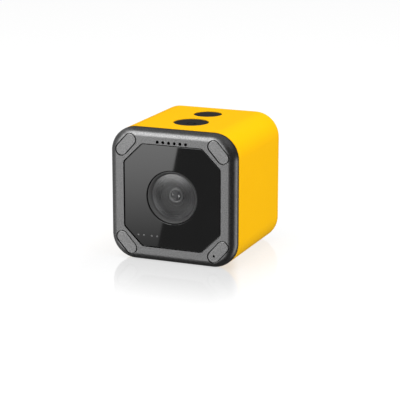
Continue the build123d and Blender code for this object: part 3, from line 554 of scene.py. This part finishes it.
def threaded_bush_grid(outer, top, bottom, crest, root, pitch, blind):
    """Blind bush whose bore is r = crest + (root - crest) * h * ridge.

    ridge = (1 + cos(2 pi (z / pitch - a / 2 pi))) / 2 winds up the bore as a helix, and h runs
    from 0 to 1 and back over half a turn at either end of the thread.
    """
    angle = around(TURNED_COLUMNS)
    mouth = bottom + BUSH_MOUTH
    z = np.linspace(mouth, blind, BUSH_ROWS)[:, None]
    ridge = (1 + np.cos(2 * math.pi * z / pitch - angle)) / 2
    ends = np.clip(np.minimum(z - mouth, blind - z) / (pitch / 2), 0, 1)
    wall_r = crest + (root - crest) * ridge * ends
    lead_r = np.array([0, outer, outer, crest + BUSH_LEAD])[:, None]
    lead_z = np.array([top, top, bottom, bottom])[:, None]
    radius = np.vstack([lead_r + 0 * angle, wall_r, 0 * angle])
    height = np.vstack([lead_z, z, [[blind]]]) + 0 * angle
    return np.stack([radius * np.cos(angle), radius * np.sin(angle), height], axis=-1)


def crowned_profile(rings, fall):
    """Profile t, 1 - fall * t squared from the middle out to the rim, then a flat back."""
    share = np.linspace(0, 1, rings)
    crown = 1 - fall * share**2
    share = np.concatenate([share, [1.0, 0.0]])
    crown = np.concatenate([crown, [CROWN_BACK, CROWN_BACK]])
    return share[:, None], crown[:, None]


def mark_grid(x, z, size, lobes, depth):
    """Small raised mark: its rim is r = size (1 + MARK_LOBE cos(lobes a + 90 degrees)).

    A mark without lobes is round. Both are crowned by 1 - t squared.
    """
    angle = around(MARK_COLUMNS)
    wave = np.cos(lobes * angle + math.pi / 2)
    rim = size * (1 + MARK_LOBE * wave) if lobes else size + 0 * angle
    share, crown = crowned_profile(MARK_RINGS, 1.0)
    radius = share * rim
    y = FRONT_Y + depth - crown * MARK_RISE + 0 * radius
    return np.stack([x + radius * np.cos(angle), y, z + radius * np.sin(angle)], axis=-1)


def ring_grid(major, minor, depth, squash, centre):
    """Ring: r = major + minor cos b, depth = depth - squash * minor sin b."""
    section = np.linspace(0, 2 * math.pi, RING_POINTS)
    radius = major + minor * np.cos(section)
    return turned_grid(radius, depth - squash * minor * np.sin(section), centre)


def baffle_grid(outer, inner, ridges, height, width, centre):
    """Cone between two (radius, depth) ends with round ridges on it.

    depth = line - wall - height * sum of exp(-((r - ridge) / width)^2), and its back lies on the
    line.
    """
    along = np.linspace(0, 1, BAFFLE_POINTS)
    radius = outer[0] + (inner[0] - outer[0]) * along
    back = outer[1] + (inner[1] - outer[1]) * along
    rise = sum(np.exp(-(((radius - ridge) / width) ** 2)) for ridge in ridges)
    front = back - MOUTH_WALL - height * rise
    radius_loop = np.concatenate([radius, radius[::-1], radius[:1]])
    depth_loop = np.concatenate([front, back[::-1], front[:1]])
    return turned_grid(radius_loop, depth_loop, centre)


def contact_grid(x, half_w, y_span, z, rise):
    """Gold contact: a rounded bar, |u|^4 + |v|^4 = t^4 in plan, crowned by 1 - fall t squared."""
    angle = around(CONTACT_COLUMNS)
    squared = (np.cos(angle) ** 4 + np.sin(angle) ** 4) ** -0.25
    share, crown = crowned_profile(CONTACT_RINGS, CONTACT_FALL)
    half_l = (y_span[1] - y_span[0]) / 2
    middle = (y_span[0] + y_span[1]) / 2
    px = x + share * half_w * squared * np.cos(angle)
    py = middle + share * half_l * squared * np.sin(angle)
    pz = z + rise * crown + 0 * px
    return np.stack([px, py, pz], axis=-1)


# --- Settings ---------------------------------------------------------------------------------


def colour_setting(name, description, default):
    """Colour without transparency."""
    return bpy.props.FloatVectorProperty(
        name=name, description=description, subtype="COLOR", size=3, min=0, max=1, default=default
    )


def length_setting(name, description, default):
    """Length in metres."""
    return bpy.props.FloatProperty(
        name=name, description=description, unit="LENGTH", default=default, precision=5
    )


def factor_setting(name, description, default):
    """Share from 0 to 1."""
    return bpy.props.FloatProperty(
        name=name, description=description, subtype="FACTOR", min=0, max=1, default=default
    )


def number_setting(name, description, default):
    """Plain number."""
    return bpy.props.FloatProperty(name=name, description=description, default=default)


class HousingSettings(bpy.types.PropertyGroup):
    """Housing and seals."""

    colour: colour_setting("Housing colour", "Moulded housing", (1.0, 0.525, 0.0))
    roughness: factor_setting("Roughness", "Housing roughness", 0.42)
    grain: length_setting("Grain", "Size of the housing's surface grain", 0.12 * MM)
    seal: colour_setting("Seal colour", "Gaskets", (0.012, 0.012, 0.012))
    # The front glass's seal is lighter than the other seals: painted light, so the shaded gap
    # round the lens trim reads grey
    lens_seal: colour_setting("Lens seal colour", "Seal of the front glass", (0.06, 0.06, 0.06))


class FrontSettings(bpy.types.PropertyGroup):
    """Bezel, pads and window."""

    bezel: colour_setting("Bezel colour", "Front frame", (0.245, 0.245, 0.246))
    pad: colour_setting("Pad colour", "Corner pads", (0.295, 0.295, 0.296))
    grain: length_setting("Metal grain", "Size of the flakes in the metal coating", 0.28 * MM)
    roughness: factor_setting("Metal roughness", "Bezel and pad roughness", 0.3)
    window: colour_setting("Window colour", "Polished window", (0.0135, 0.0135, 0.0135))
    window_gloss: factor_setting("Window roughness", "Lower is more mirror-like", 0.01)
    mark: colour_setting("Mark colour", "Status marks", (0.2, 0.2, 0.2))
    mark_size: length_setting("Mark size", "Radius of a status mark", 0.26 * MM)


class LensSettings(bpy.types.PropertyGroup):
    """Lens glass, mouth and rings."""

    tint: colour_setting("Glass tint", "Body colour of the front glass", (0.06, 0.06, 0.061))
    clarity: factor_setting("Clarity", "How much shows through the front glass", 0.6)
    haze: factor_setting("Haze", "Roughness of the front glass", 0.2)
    trim: colour_setting("Trim colour", "Ring round the front glass", (0.07, 0.07, 0.07))
    mouth: colour_setting("Mouth colour", "Conical mouth behind the glass", (0.09, 0.09, 0.09))
    rim: colour_setting("Inner ring colour", "Ring round the inner element", (0.85, 0.85, 0.85))
    rim_radius: length_setting("Inner ring radius", "Middle of the inner ring", 1.85 * MM)
    rim_width: length_setting("Inner ring width", "Half the inner ring's width", 0.32 * MM)
    ridge_radius: length_setting("First ridge", "Radius of the mouth's inmost ridge", 3.05 * MM)
    ridge_pitch: length_setting("Ridge pitch", "From one ridge to the next", 1.4 * MM)
    ridge_height: length_setting("Ridge height", "How far the ridges stand up", 0.24 * MM)
    ridges: bpy.props.IntProperty(
        name="Ridges", description="Ridges in the conical mouth", default=2, min=1
    )


class ControlSettings(bpy.types.PropertyGroup):
    """Buttons, rear cover and door."""

    button: colour_setting("Button colour", "Top buttons", (0.012, 0.012, 0.0125))
    cover: colour_setting("Cover colour", "Rear cover and port door", (0.03, 0.03, 0.032))
    grain: length_setting("Grain", "Grain of the dark plastic", 0.15 * MM)
    thread_pitch: length_setting("Thread pitch", "Tripod thread pitch", 1.27 * MM)
    thread_root: length_setting("Thread root", "Tripod thread root radius", 3.17 * MM)


class StudioSettings(bpy.types.PropertyGroup):
    """Camera, lights and floor."""

    azimuth: number_setting("Azimuth", "Camera direction in degrees", 22.42)
    elevation: number_setting("Elevation", "Camera height in degrees", 14.44)
    distance: length_setting("Distance", "Camera distance", 463.7 * MM)
    offset_x: length_setting("Offset across", "How far right the camera stands", 0.98 * MM)
    offset_z: length_setting("Offset up", "How far down the camera stands", 4.69 * MM)
    lens: number_setting("Lens", "Focal length in millimetres", 144.45)
    ambient: number_setting("Ambient", "World light on rough surfaces", 0.42)
    key: number_setting("Key light", "Watts of the top light", 2.4)
    fill: number_setting("Side light", "Watts of the side light", 2.75)
    front: number_setting("Front light", "Watts of the front light", 1.0)
    glint_size: length_setting("Glint lamp size", "Width of the two small lamps", 12 * MM)
    glint_reach: length_setting("Glint lamp distance", "From the lens to the small lamps", 55 * MM)
    mirror: factor_setting("Floor reflection", "Reflection next to the object", 0.34)
    mirror_reach: length_setting("Reflection reach", "Where the reflection has faded", 44 * MM)
    side_fade: length_setting("Side fade", "Where the reflection weakens at the side", 4 * MM)
    floor_shade: factor_setting("Floor shade", "Share of the lamps' light it returns", 0.18)
    floor_glow: factor_setting("Floor glow", "Light of its own that the camera sees", 0.86)


SETTINGS = {
    "camera_housing": HousingSettings,
    "camera_front": FrontSettings,
    "camera_lens": LensSettings,
    "camera_controls": ControlSettings,
    "camera_studio": StudioSettings,
}


# --- Operators --------------------------------------------------------------------------------


class FinishHousing(bpy.types.Operator):
    """Yellow moulded housing, its black seals, and the front glass's seal, lightened as painted
    light in the shaded gap round the lens trim
    """

    bl_idname = "cube_camera.finish_housing"
    bl_label = "Housing"

    def execute(self, context):
        look = context.scene.camera_housing
        shell = satin_plastic("housing_satin", look.colour, look.roughness, look.grain, sheen=0.06)
        dress(shell, "body_shell")
        seals = ("bezel_gasket", "rear_cover_gasket", "port_door_gasket", "window_seal")
        dress(rubber("seal_rubber", look.seal), *seals)
        # Lighter seal round the front glass: painted light in the shaded gap round the lens trim
        dress(rubber("lens_seal_grey", look.lens_seal), "lens_seal")
        return {"FINISHED"}


class FinishFront(bpy.types.Operator):
    """Grained metal bezel and pads, polished window, speaker cloth"""

    bl_idname = "cube_camera.finish_front"
    bl_label = "Front frame and window"

    def execute(self, context):
        look = context.scene.camera_front
        bezel = grained_metal("bezel_coat", look.bezel, look.roughness, look.grain)
        dress(bezel, "front_bezel")
        pads = [f"corner_pad_{side}" for side in PAD_SIDES]
        dress(grained_metal("pad_coat", look.pad, look.roughness, look.grain), *pads)
        dress(polished_window("window_black", look.window, look.window_gloss), "front_window")
        dress(woven_cloth("speaker_cloth", SPEAKER_CLOTH), "speaker_mesh")
        return {"FINISHED"}


class MakeStatusMarks(bpy.types.Operator):
    """Four small marks on the window over the status lights"""

    bl_idname = "cube_camera.make_status_marks"
    bl_label = "Status marks"

    def execute(self, context):
        look = context.scene.camera_front
        low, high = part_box("status_light_guides")
        material = satin_plastic("mark_paint", look.mark, roughness=0.5, grain=0.05 * MM)
        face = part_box("front_window")[0].y - FRONT_Y
        inset = high.z - low.z
        first = low.x + inset / 2
        span = high.x - low.x - inset
        row_z = (low.z + high.z) / 2
        for number, (share, lobes) in enumerate(MARKS):
            grid = mark_grid(first + share * span, row_z, look.mark_size, lobes, face)
            mark = piece_from_grid(f"status_mark_{number + 1}", grid, material, "body")
        return {"FINISHED"}


class FinishLens(bpy.types.Operator):
    """Coated glass, dark barrel, ridged mouth and the ring round the inner element"""

    bl_idname = "cube_camera.finish_lens"
    bl_label = "Lens"

    def execute(self, context):
        look = context.scene.camera_lens
        front = coated_glass("front_glass", look.tint, look.clarity, look.haze, FRONT_GLASS_R)
        dress(front, "lens_front_element")
        inner = coated_glass(
            "inner_glass", INNER_GLASS, clarity=0.1, haze=0.06, radii=INNER_GLASS_R
        )
        dress(inner, "lens_inner_element", "lens_middle_element", "lens_rear_element")
        tinted = coated_glass(
            "filter_glass", FILTER_GLASS, clarity=0.5, haze=0.04, radii=FILTER_GLASS_R
        )
        dress(tinted, "ir_filter")
        black = satin_plastic("lens_black", LENS_BLACK, roughness=0.5, grain=FINE_GRAIN)
        dress(black, "lens_holder", "lens_retainer_ring", "front_chassis", "mid_frame")
        trim = satin_plastic("trim_grey", look.trim, roughness=0.3, grain=FINE_GRAIN)
        dress(trim, "lens_trim_ring")
        mouth = satin_plastic("mouth_grey", look.mouth, roughness=0.55, grain=FINE_GRAIN)
        dress(mouth, "lens_barrel")
        centre = (0.0, 0.0, MIDDLE.z)
        make_inner_rim(look, centre)
        make_baffle(look, mouth, centre)
        return {"FINISHED"}


def make_inner_rim(look, centre):
    """Bright ring round the inner element."""
    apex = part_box("lens_inner_element")[0].y - FRONT_Y
    rim_finish = brushed_metal("rim_metal", look.rim, roughness=0.35, stretch=EVEN)
    depth = apex + INNER_RIM_DEPTH
    grid = ring_grid(look.rim_radius, look.rim_width, depth, INNER_RIM_SQUASH, centre)
    piece_from_grid("lens_inner_rim", grid, rim_finish, "body")


def make_baffle(look, mouth, centre):
    """Ridged cone between the front glass and the inner element."""
    mouth_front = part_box("lens_barrel")[0].y - FRONT_Y
    outer = (MOUTH_OUTER_R, mouth_front)
    inner = (MOUTH_INNER_R, mouth_front + MOUTH_DEPTH)
    ridges = [look.ridge_radius + step * look.ridge_pitch for step in range(look.ridges)]
    grid = baffle_grid(outer, inner, ridges, look.ridge_height, MOUTH_RIDGE_W, centre)
    piece_from_grid("lens_baffle", grid, mouth, "body")


class FinishControls(bpy.types.Operator):
    """Dark buttons, rear cover, port door, latch and the card"""

    bl_idname = "cube_camera.finish_controls"
    bl_label = "Buttons, cover and door"

    def execute(self, context):
        look = context.scene.camera_controls
        buttons = satin_plastic("button_satin", look.button, roughness=0.45, grain=look.grain)
        dress(buttons, "shutter_button", "power_button")
        dress(buttons, "shutter_button_guide", "power_button_guide")
        cover = satin_plastic(
            "cover_grained", look.cover, roughness=0.5, grain=look.grain * COVER_COARSER
        )
        dress(cover, "rear_cover", "port_door")
        latch = satin_plastic("latch_grey", LATCH_GREY, roughness=0.4, grain=look.grain)
        dress(latch, "port_door_latch")
        card = satin_plastic("card_black", CARD_BLACK, roughness=0.35, grain=look.grain)
        dress(card, "micro_sd_card")
        steel = brushed_metal("screw_steel", SCREW_STEEL, roughness=0.3, stretch=ALONG_Y)
        dress(steel, *[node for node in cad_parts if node.endswith("_screws")])
        dress(steel, "port_door_hinge_pin")
        return {"FINISHED"}


class MakeTripodThread(bpy.types.Operator):
    """Brass bush with a thread form in place of the smooth one"""

    bl_idname = "cube_camera.make_tripod_thread"
    bl_label = "Tripod thread"

    def execute(self, context):
        look = context.scene.camera_controls
        low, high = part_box("tripod_insert")
        grid = threaded_bush_grid(
            outer=high.x,
            top=high.z,
            bottom=low.z,
            crest=THREAD_CREST_R,
            root=look.thread_root,
            pitch=look.thread_pitch,
            blind=high.z - BUSH_ROOF,
        )
        brass = turned_metal("bush_brass", BUSH_BRASS, roughness=0.3, pitch=0.1 * MM)
        dress(brass, "tripod_insert")
        bush = piece_from_grid("tripod_bush", grid, brass, "body")
        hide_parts("tripod_insert")
        return {"FINISHED"}


class FinishInside(bpy.types.Operator):
    """Boards, cans, cables, battery, lights and the socket's gold contacts"""

    bl_idname = "cube_camera.finish_inside"
    bl_label = "Inside"

    def execute(self, context):
        boards = ("main_board", "sensor_board", "button_board", "status_board")
        dress(circuit_board("board_mask", BOARD_GREEN), *boards)
        chips = ("processor", "memory_chips", "image_sensor", "speaker")
        dress(satin_plastic("chip_black", CHIP_BLACK, roughness=0.5, grain=FINE_GRAIN), *chips)
        cans = ("processor_shield", "micro_sd_socket", "usb_c_socket", "microphone")
        tin = brushed_metal("can_tin", CAN_TIN, roughness=0.35, stretch=ALONG_Z)
        dress(tin, *cans, "button_switches")
        film = striped_film("flex_film", FILM_COPPER, pitch=0.5 * MM)
        dress(film, "sensor_flex", "button_flex", "wifi_antenna")
        dress(creased_foil("battery_foil", BATTERY_FOIL), "battery_cell")
        dress(rubber("tape_grey", TAPE_GREY), "battery_adhesive")
        clear = satin_plastic("guide_clear", GUIDE_CLEAR, roughness=0.2, grain=FINE_GRAIN)
        dress(clear, "status_light_guides", "status_leds")
        make_contacts()
        return {"FINISHED"}


def make_contacts():
    """Row of gold contacts on the tongue of the USB-C socket."""
    gold = brushed_metal("contact_gold", CONTACT_GOLD, roughness=0.25, stretch=ALONG_Y)
    low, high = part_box("usb_c_socket")
    tongue_top = (low.z + high.z) / 2 + TONGUE_HALF_T
    run = tuple(high.y - inset for inset in CONTACT_RUN)
    for number in range(CONTACTS):
        x = (number - (CONTACTS - 1) / 2) * CONTACT_PITCH
        grid = contact_grid(x, CONTACT_HALF_W, run, tongue_top, CONTACT_RISE)
        contact = piece_from_grid(f"usb_contact_{number + 1}", grid, gold, "body")


class BuildStudio(bpy.types.Operator):
    """Camera, lights, surroundings and pale floor"""

    bl_idname = "cube_camera.build_studio"
    bl_label = "Studio"

    def execute(self, context):
        look = context.scene.camera_studio
        camera = add_camera(context.scene, look)
        add_lights(context.scene, look)
        build_world(context.scene, look, camera.location)
        add_floor(look)
        context.scene.view_settings.view_transform = "Standard"
        return {"FINISHED"}


def camera_axes(look):
    """Right, up and forward directions of the camera."""
    turn = math.radians(look.azimuth)
    tilt = math.radians(look.elevation)
    right = Vector((math.cos(turn), math.sin(turn), 0))
    lean = math.sin(tilt)
    up = Vector((-math.sin(turn) * lean, math.cos(turn) * lean, math.cos(tilt)))
    return right, up, up.cross(right)


def add_camera(scene, look):
    """Camera that looks at the object's middle from its azimuth and elevation."""
    right, up, forward = camera_axes(look)
    data = bpy.data.cameras.new("studio_camera")
    data.lens = look.lens
    data.sensor_width = SENSOR_WIDTH
    data.clip_start, data.clip_end = CLIP
    camera = bpy.data.objects.new("studio_camera", data)
    camera.location = (
        MIDDLE - forward * look.distance + right * look.offset_x - up * look.offset_z
    )
    camera.rotation_mode = "QUATERNION"
    camera.rotation_quaternion = forward.to_track_quat("-Z", "Y")
    scene.collection.objects.link(camera)
    scene.camera = camera
    return camera


def add_lamp(scene, name, place, aim, size, power):
    """Round area lamp at a place, turned along a direction, that the camera doesn't see."""
    data = bpy.data.lights.new(name, "AREA")
    data.shape = "DISK"
    data.size = size
    data.energy = power
    lamp = bpy.data.objects.new(name, data)
    lamp.location = place
    lamp.rotation_mode = "QUATERNION"
    lamp.rotation_quaternion = aim.to_track_quat("-Z", "Y")
    lamp.visible_camera = False
    scene.collection.objects.link(lamp)
    return lamp


def add_lights(scene, look):
    """Soft lights that light surfaces only, and two glints on the inner lens element.

    What shiny surfaces reflect comes from the world.
    """
    for name, place, setting in LAMPS:
        aim = MIDDLE - Vector(place)
        lamp = add_lamp(scene, name, place, aim, LAMP_SIZE, getattr(look, setting))
        lamp.visible_glossy = False
    inner = bpy.data.collections.new("glint_receivers")
    inner.objects.link(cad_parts["lens_inner_element"])
    lens = Vector((0, FRONT_Y, MIDDLE.z))
    for number, (direction, power) in enumerate(GLINTS):
        place = lens + look.glint_reach * Vector(direction)
        name = f"glint_{number + 1}"
        lamp = add_lamp(scene, name, place, -Vector(direction), look.glint_size, power)
        lamp.light_linking.receiver_collection = inner


def build_world(scene, look, eye):
    """White for the camera, even for rough surfaces, and studio cards for reflections."""
    world = bpy.data.worlds.new("studio_world")
    world.use_nodes = True
    scene.world = world
    shader = Shader(world.node_tree)
    cards = studio_cards(shader, eye)
    camera_ray = shader.ray("Is Camera Ray")
    glossy_ray = shader.ray("Is Glossy Ray")
    depth = shader.ray("Transparent Depth")
    veiled = depth.above(VEILED_FROM) - depth.above(VEILED_TO)
    mirrored = veiled + (1 - veiled) * cards
    seen = glossy_ray * mirrored + (1 - glossy_ray) * look.ambient
    strength = camera_ray + (1 - camera_ray) * seen
    background = shader.node("Background", None, {"Color": grey(1.0), "Strength": strength})
    shader.surface(background, "OutputWorld")


def studio_cards(shader, eye):
    """Brightness of the reflected surroundings in each direction."""
    toward = shader.node("TexCoord", output="Generated")
    across, along, up = shader.split(toward)
    ceiling = shader.fade(up, *CEILING_UP) * CEILING_GLOW
    softbox = shader.fade(up, *SOFTBOX_LOW) * shader.fade(up, *SOFTBOX_HIGH)
    softbox = softbox * shader.fade(along, *SOFTBOX_FRONT) * SOFTBOX_GLOW
    softbox = softbox * shader.fade(across, *SOFTBOX_RIGHT) * shader.fade(across, *SOFTBOX_LEFT)
    behind = shader.fade(along, *BEHIND_ALONG) * shader.fade(up, *BEHIND_UP)
    behind = behind * shader.fade(across, *BEHIND_RIGHT)
    left = shader.fade(across, *LEFT_ACROSS) * LEFT_GLOW
    front = shader.fade(along, *FRONT_ALONG)
    strip = shader.fade(across, *STRIP_LEFT) * shader.fade(across, *STRIP_RIGHT)
    sill = shader.fade(up, *SILL_HIGH) * shader.fade(up, *SILL_LOW)
    sill = sill * shader.fade(across, *SILL_RIGHT) * SILL_GLOW
    card = window_card(shader, toward, eye, up) * shader.fade(across, *WINDOW_CARD_LEFT)
    cards = front * card.at_least(strip).at_least(sill)
    return BASE_GLOW + ceiling + softbox + behind + left + cards


def window_card(shader, toward, eye, up):
    """Card mirrored in the window's left half: a half space of directions with a slanted edge."""
    mirrored = Vector((eye.x, 2 * FRONT_Y - eye.y, eye.z))
    high, low = (
        Vector((x, FRONT_Y, MIDDLE.z + rise)) - mirrored for x, rise in (CARD_TOP, CARD_FOOT)
    )
    normal = high.cross(low).normalized()
    if normal.x > 0:
        normal = -normal
    side = shader.node(
        "VectorMath", {"operation": "DOT_PRODUCT"}, {0: toward, 1: normal}, output="Value"
    )
    edge = shader.fade(side, 0.0, CARD_SOFTNESS)
    glow = shader.fade(up, *CARD_RISE, *CARD_GLOW) * shader.fade(up, *CARD_FALL, *CARD_DIM)
    return edge * glow


def level_sheet(name, heights, material):
    """Wide level sheets of the stage, seen by the camera but not by reflections."""
    half = FLOOR_HALF
    corners = [(-half, -half), (half, -half), (half, half), (-half, half)]
    points = [(x, y, height) for height in heights for x, y in corners]
    faces = [tuple(range(4 * sheet, 4 * sheet + 4)) for sheet in range(len(heights))]
    mesh = bpy.data.meshes.new(name)
    mesh.from_pydata(points, [], faces)
    mesh.materials.append(material)
    sheet = bpy.data.objects.new(name, mesh)
    bpy.context.scene.collection.objects.link(sheet)
    sheet.visible_glossy = False
    return sheet


def add_floor(look):
    """Pale floor that keeps the shadow and mirrors the object close by.

    The two clear veils over it mark the camera's rays, so that what its mirror misses is white.
    """
    material, shader = new_shader("floor_pale")
    x, y, _ = shader.split(shader.place())
    out_x = (x.absolute() - HIGH.x).at_least(0.0)
    out_y = (y.absolute() - HIGH.y).at_least(0.0)
    away = (out_x * out_x * SIDE_STRETCH + out_y * out_y) ** 0.5
    corner = HIGH.x + LOW.y * MIRROR_SLANT
    edge = (corner - look.side_fade / 2, corner + look.side_fade / 2)
    beside = shader.fade(x + y * MIRROR_SLANT, *edge)
    mirror = shader.fade(away, 0.0, look.mirror_reach, look.mirror, 0.0)
    mirror = mirror * (1 - BESIDE_LOSS * beside)
    grain = shader.noise(1.5 * MM)
    shades = (grey(look.floor_shade + drift) for drift in (-FLOOR_DRIFT, FLOOR_DRIFT))
    tone = shader.colour_mix(grain, *shades)
    matt = shader.node("BsdfDiffuse", None, {"Color": tone})
    strength = shader.ray("Is Camera Ray") * look.floor_glow
    glow = shader.node("Emission", None, {"Strength": strength})
    pale = shader.node("AddShader", None, {0: matt, 1: glow})
    sheen = shader.node("BsdfGlossy", None, {"Roughness": FLOOR_GLOSS})
    seen = shader.node("MixShader", None, {0: mirror, 1: pale, 2: sheen})
    below = shader.node("NewGeometry", output="Backfacing")
    clear = shader.node("BsdfTransparent")
    shader.surface(shader.node("MixShader", None, {0: below, 1: seen, 2: clear}))
    floor = level_sheet("studio_floor", [FLOOR_Z], material)
    floor.visible_diffuse = False
    clear, shader = new_shader("veil_clear")
    shader.surface(shader.node("BsdfTransparent"))
    veil = level_sheet("studio_veil", VEILS_Z, clear)
    veil.visible_diffuse = False
    veil.visible_transmission = False
    veil.visible_shadow = False


STEPS = (
    FinishHousing,
    FinishFront,
    MakeStatusMarks,
    FinishLens,
    FinishControls,
    MakeTripodThread,
    FinishInside,
    BuildStudio,
)


class CubeCameraPanel(bpy.types.Panel):
    """Settings and steps of the cube action camera"""

    bl_idname = "VIEW3D_PT_cube_camera"
    bl_label = "Action Camera"
    bl_space_type = "VIEW_3D"
    bl_region_type = "UI"
    bl_category = "Action Camera"

    def draw(self, context):
        for name, group in SETTINGS.items():
            box = self.layout.box()
            for setting in group.__annotations__:
                box.prop(getattr(context.scene, name), setting)
        for step in STEPS:
            self.layout.operator(step.bl_idname)


CLASSES = (*SETTINGS.values(), *STEPS, CubeCameraPanel)


def register():
    """Adds the classes and the scene's settings."""
    for item in CLASSES:
        bpy.utils.register_class(item)
    for name, group in SETTINGS.items():
        setattr(bpy.types.Scene, name, bpy.props.PointerProperty(type=group))


def unregister():
    """Removes the settings and the classes."""
    for name in SETTINGS:
        delattr(bpy.types.Scene, name)
    for item in reversed(CLASSES):
        bpy.utils.unregister_class(item)


def main():
    """Builds everything in order."""
    register()
    bpy.ops.cube_camera.finish_housing()
    bpy.ops.cube_camera.finish_front()
    bpy.ops.cube_camera.make_status_marks()
    bpy.ops.cube_camera.finish_lens()
    bpy.ops.cube_camera.finish_controls()
    bpy.ops.cube_camera.make_tripod_thread()
    bpy.ops.cube_camera.finish_inside()
    bpy.ops.cube_camera.build_studio()


if __name__ == "__main__":
    main()
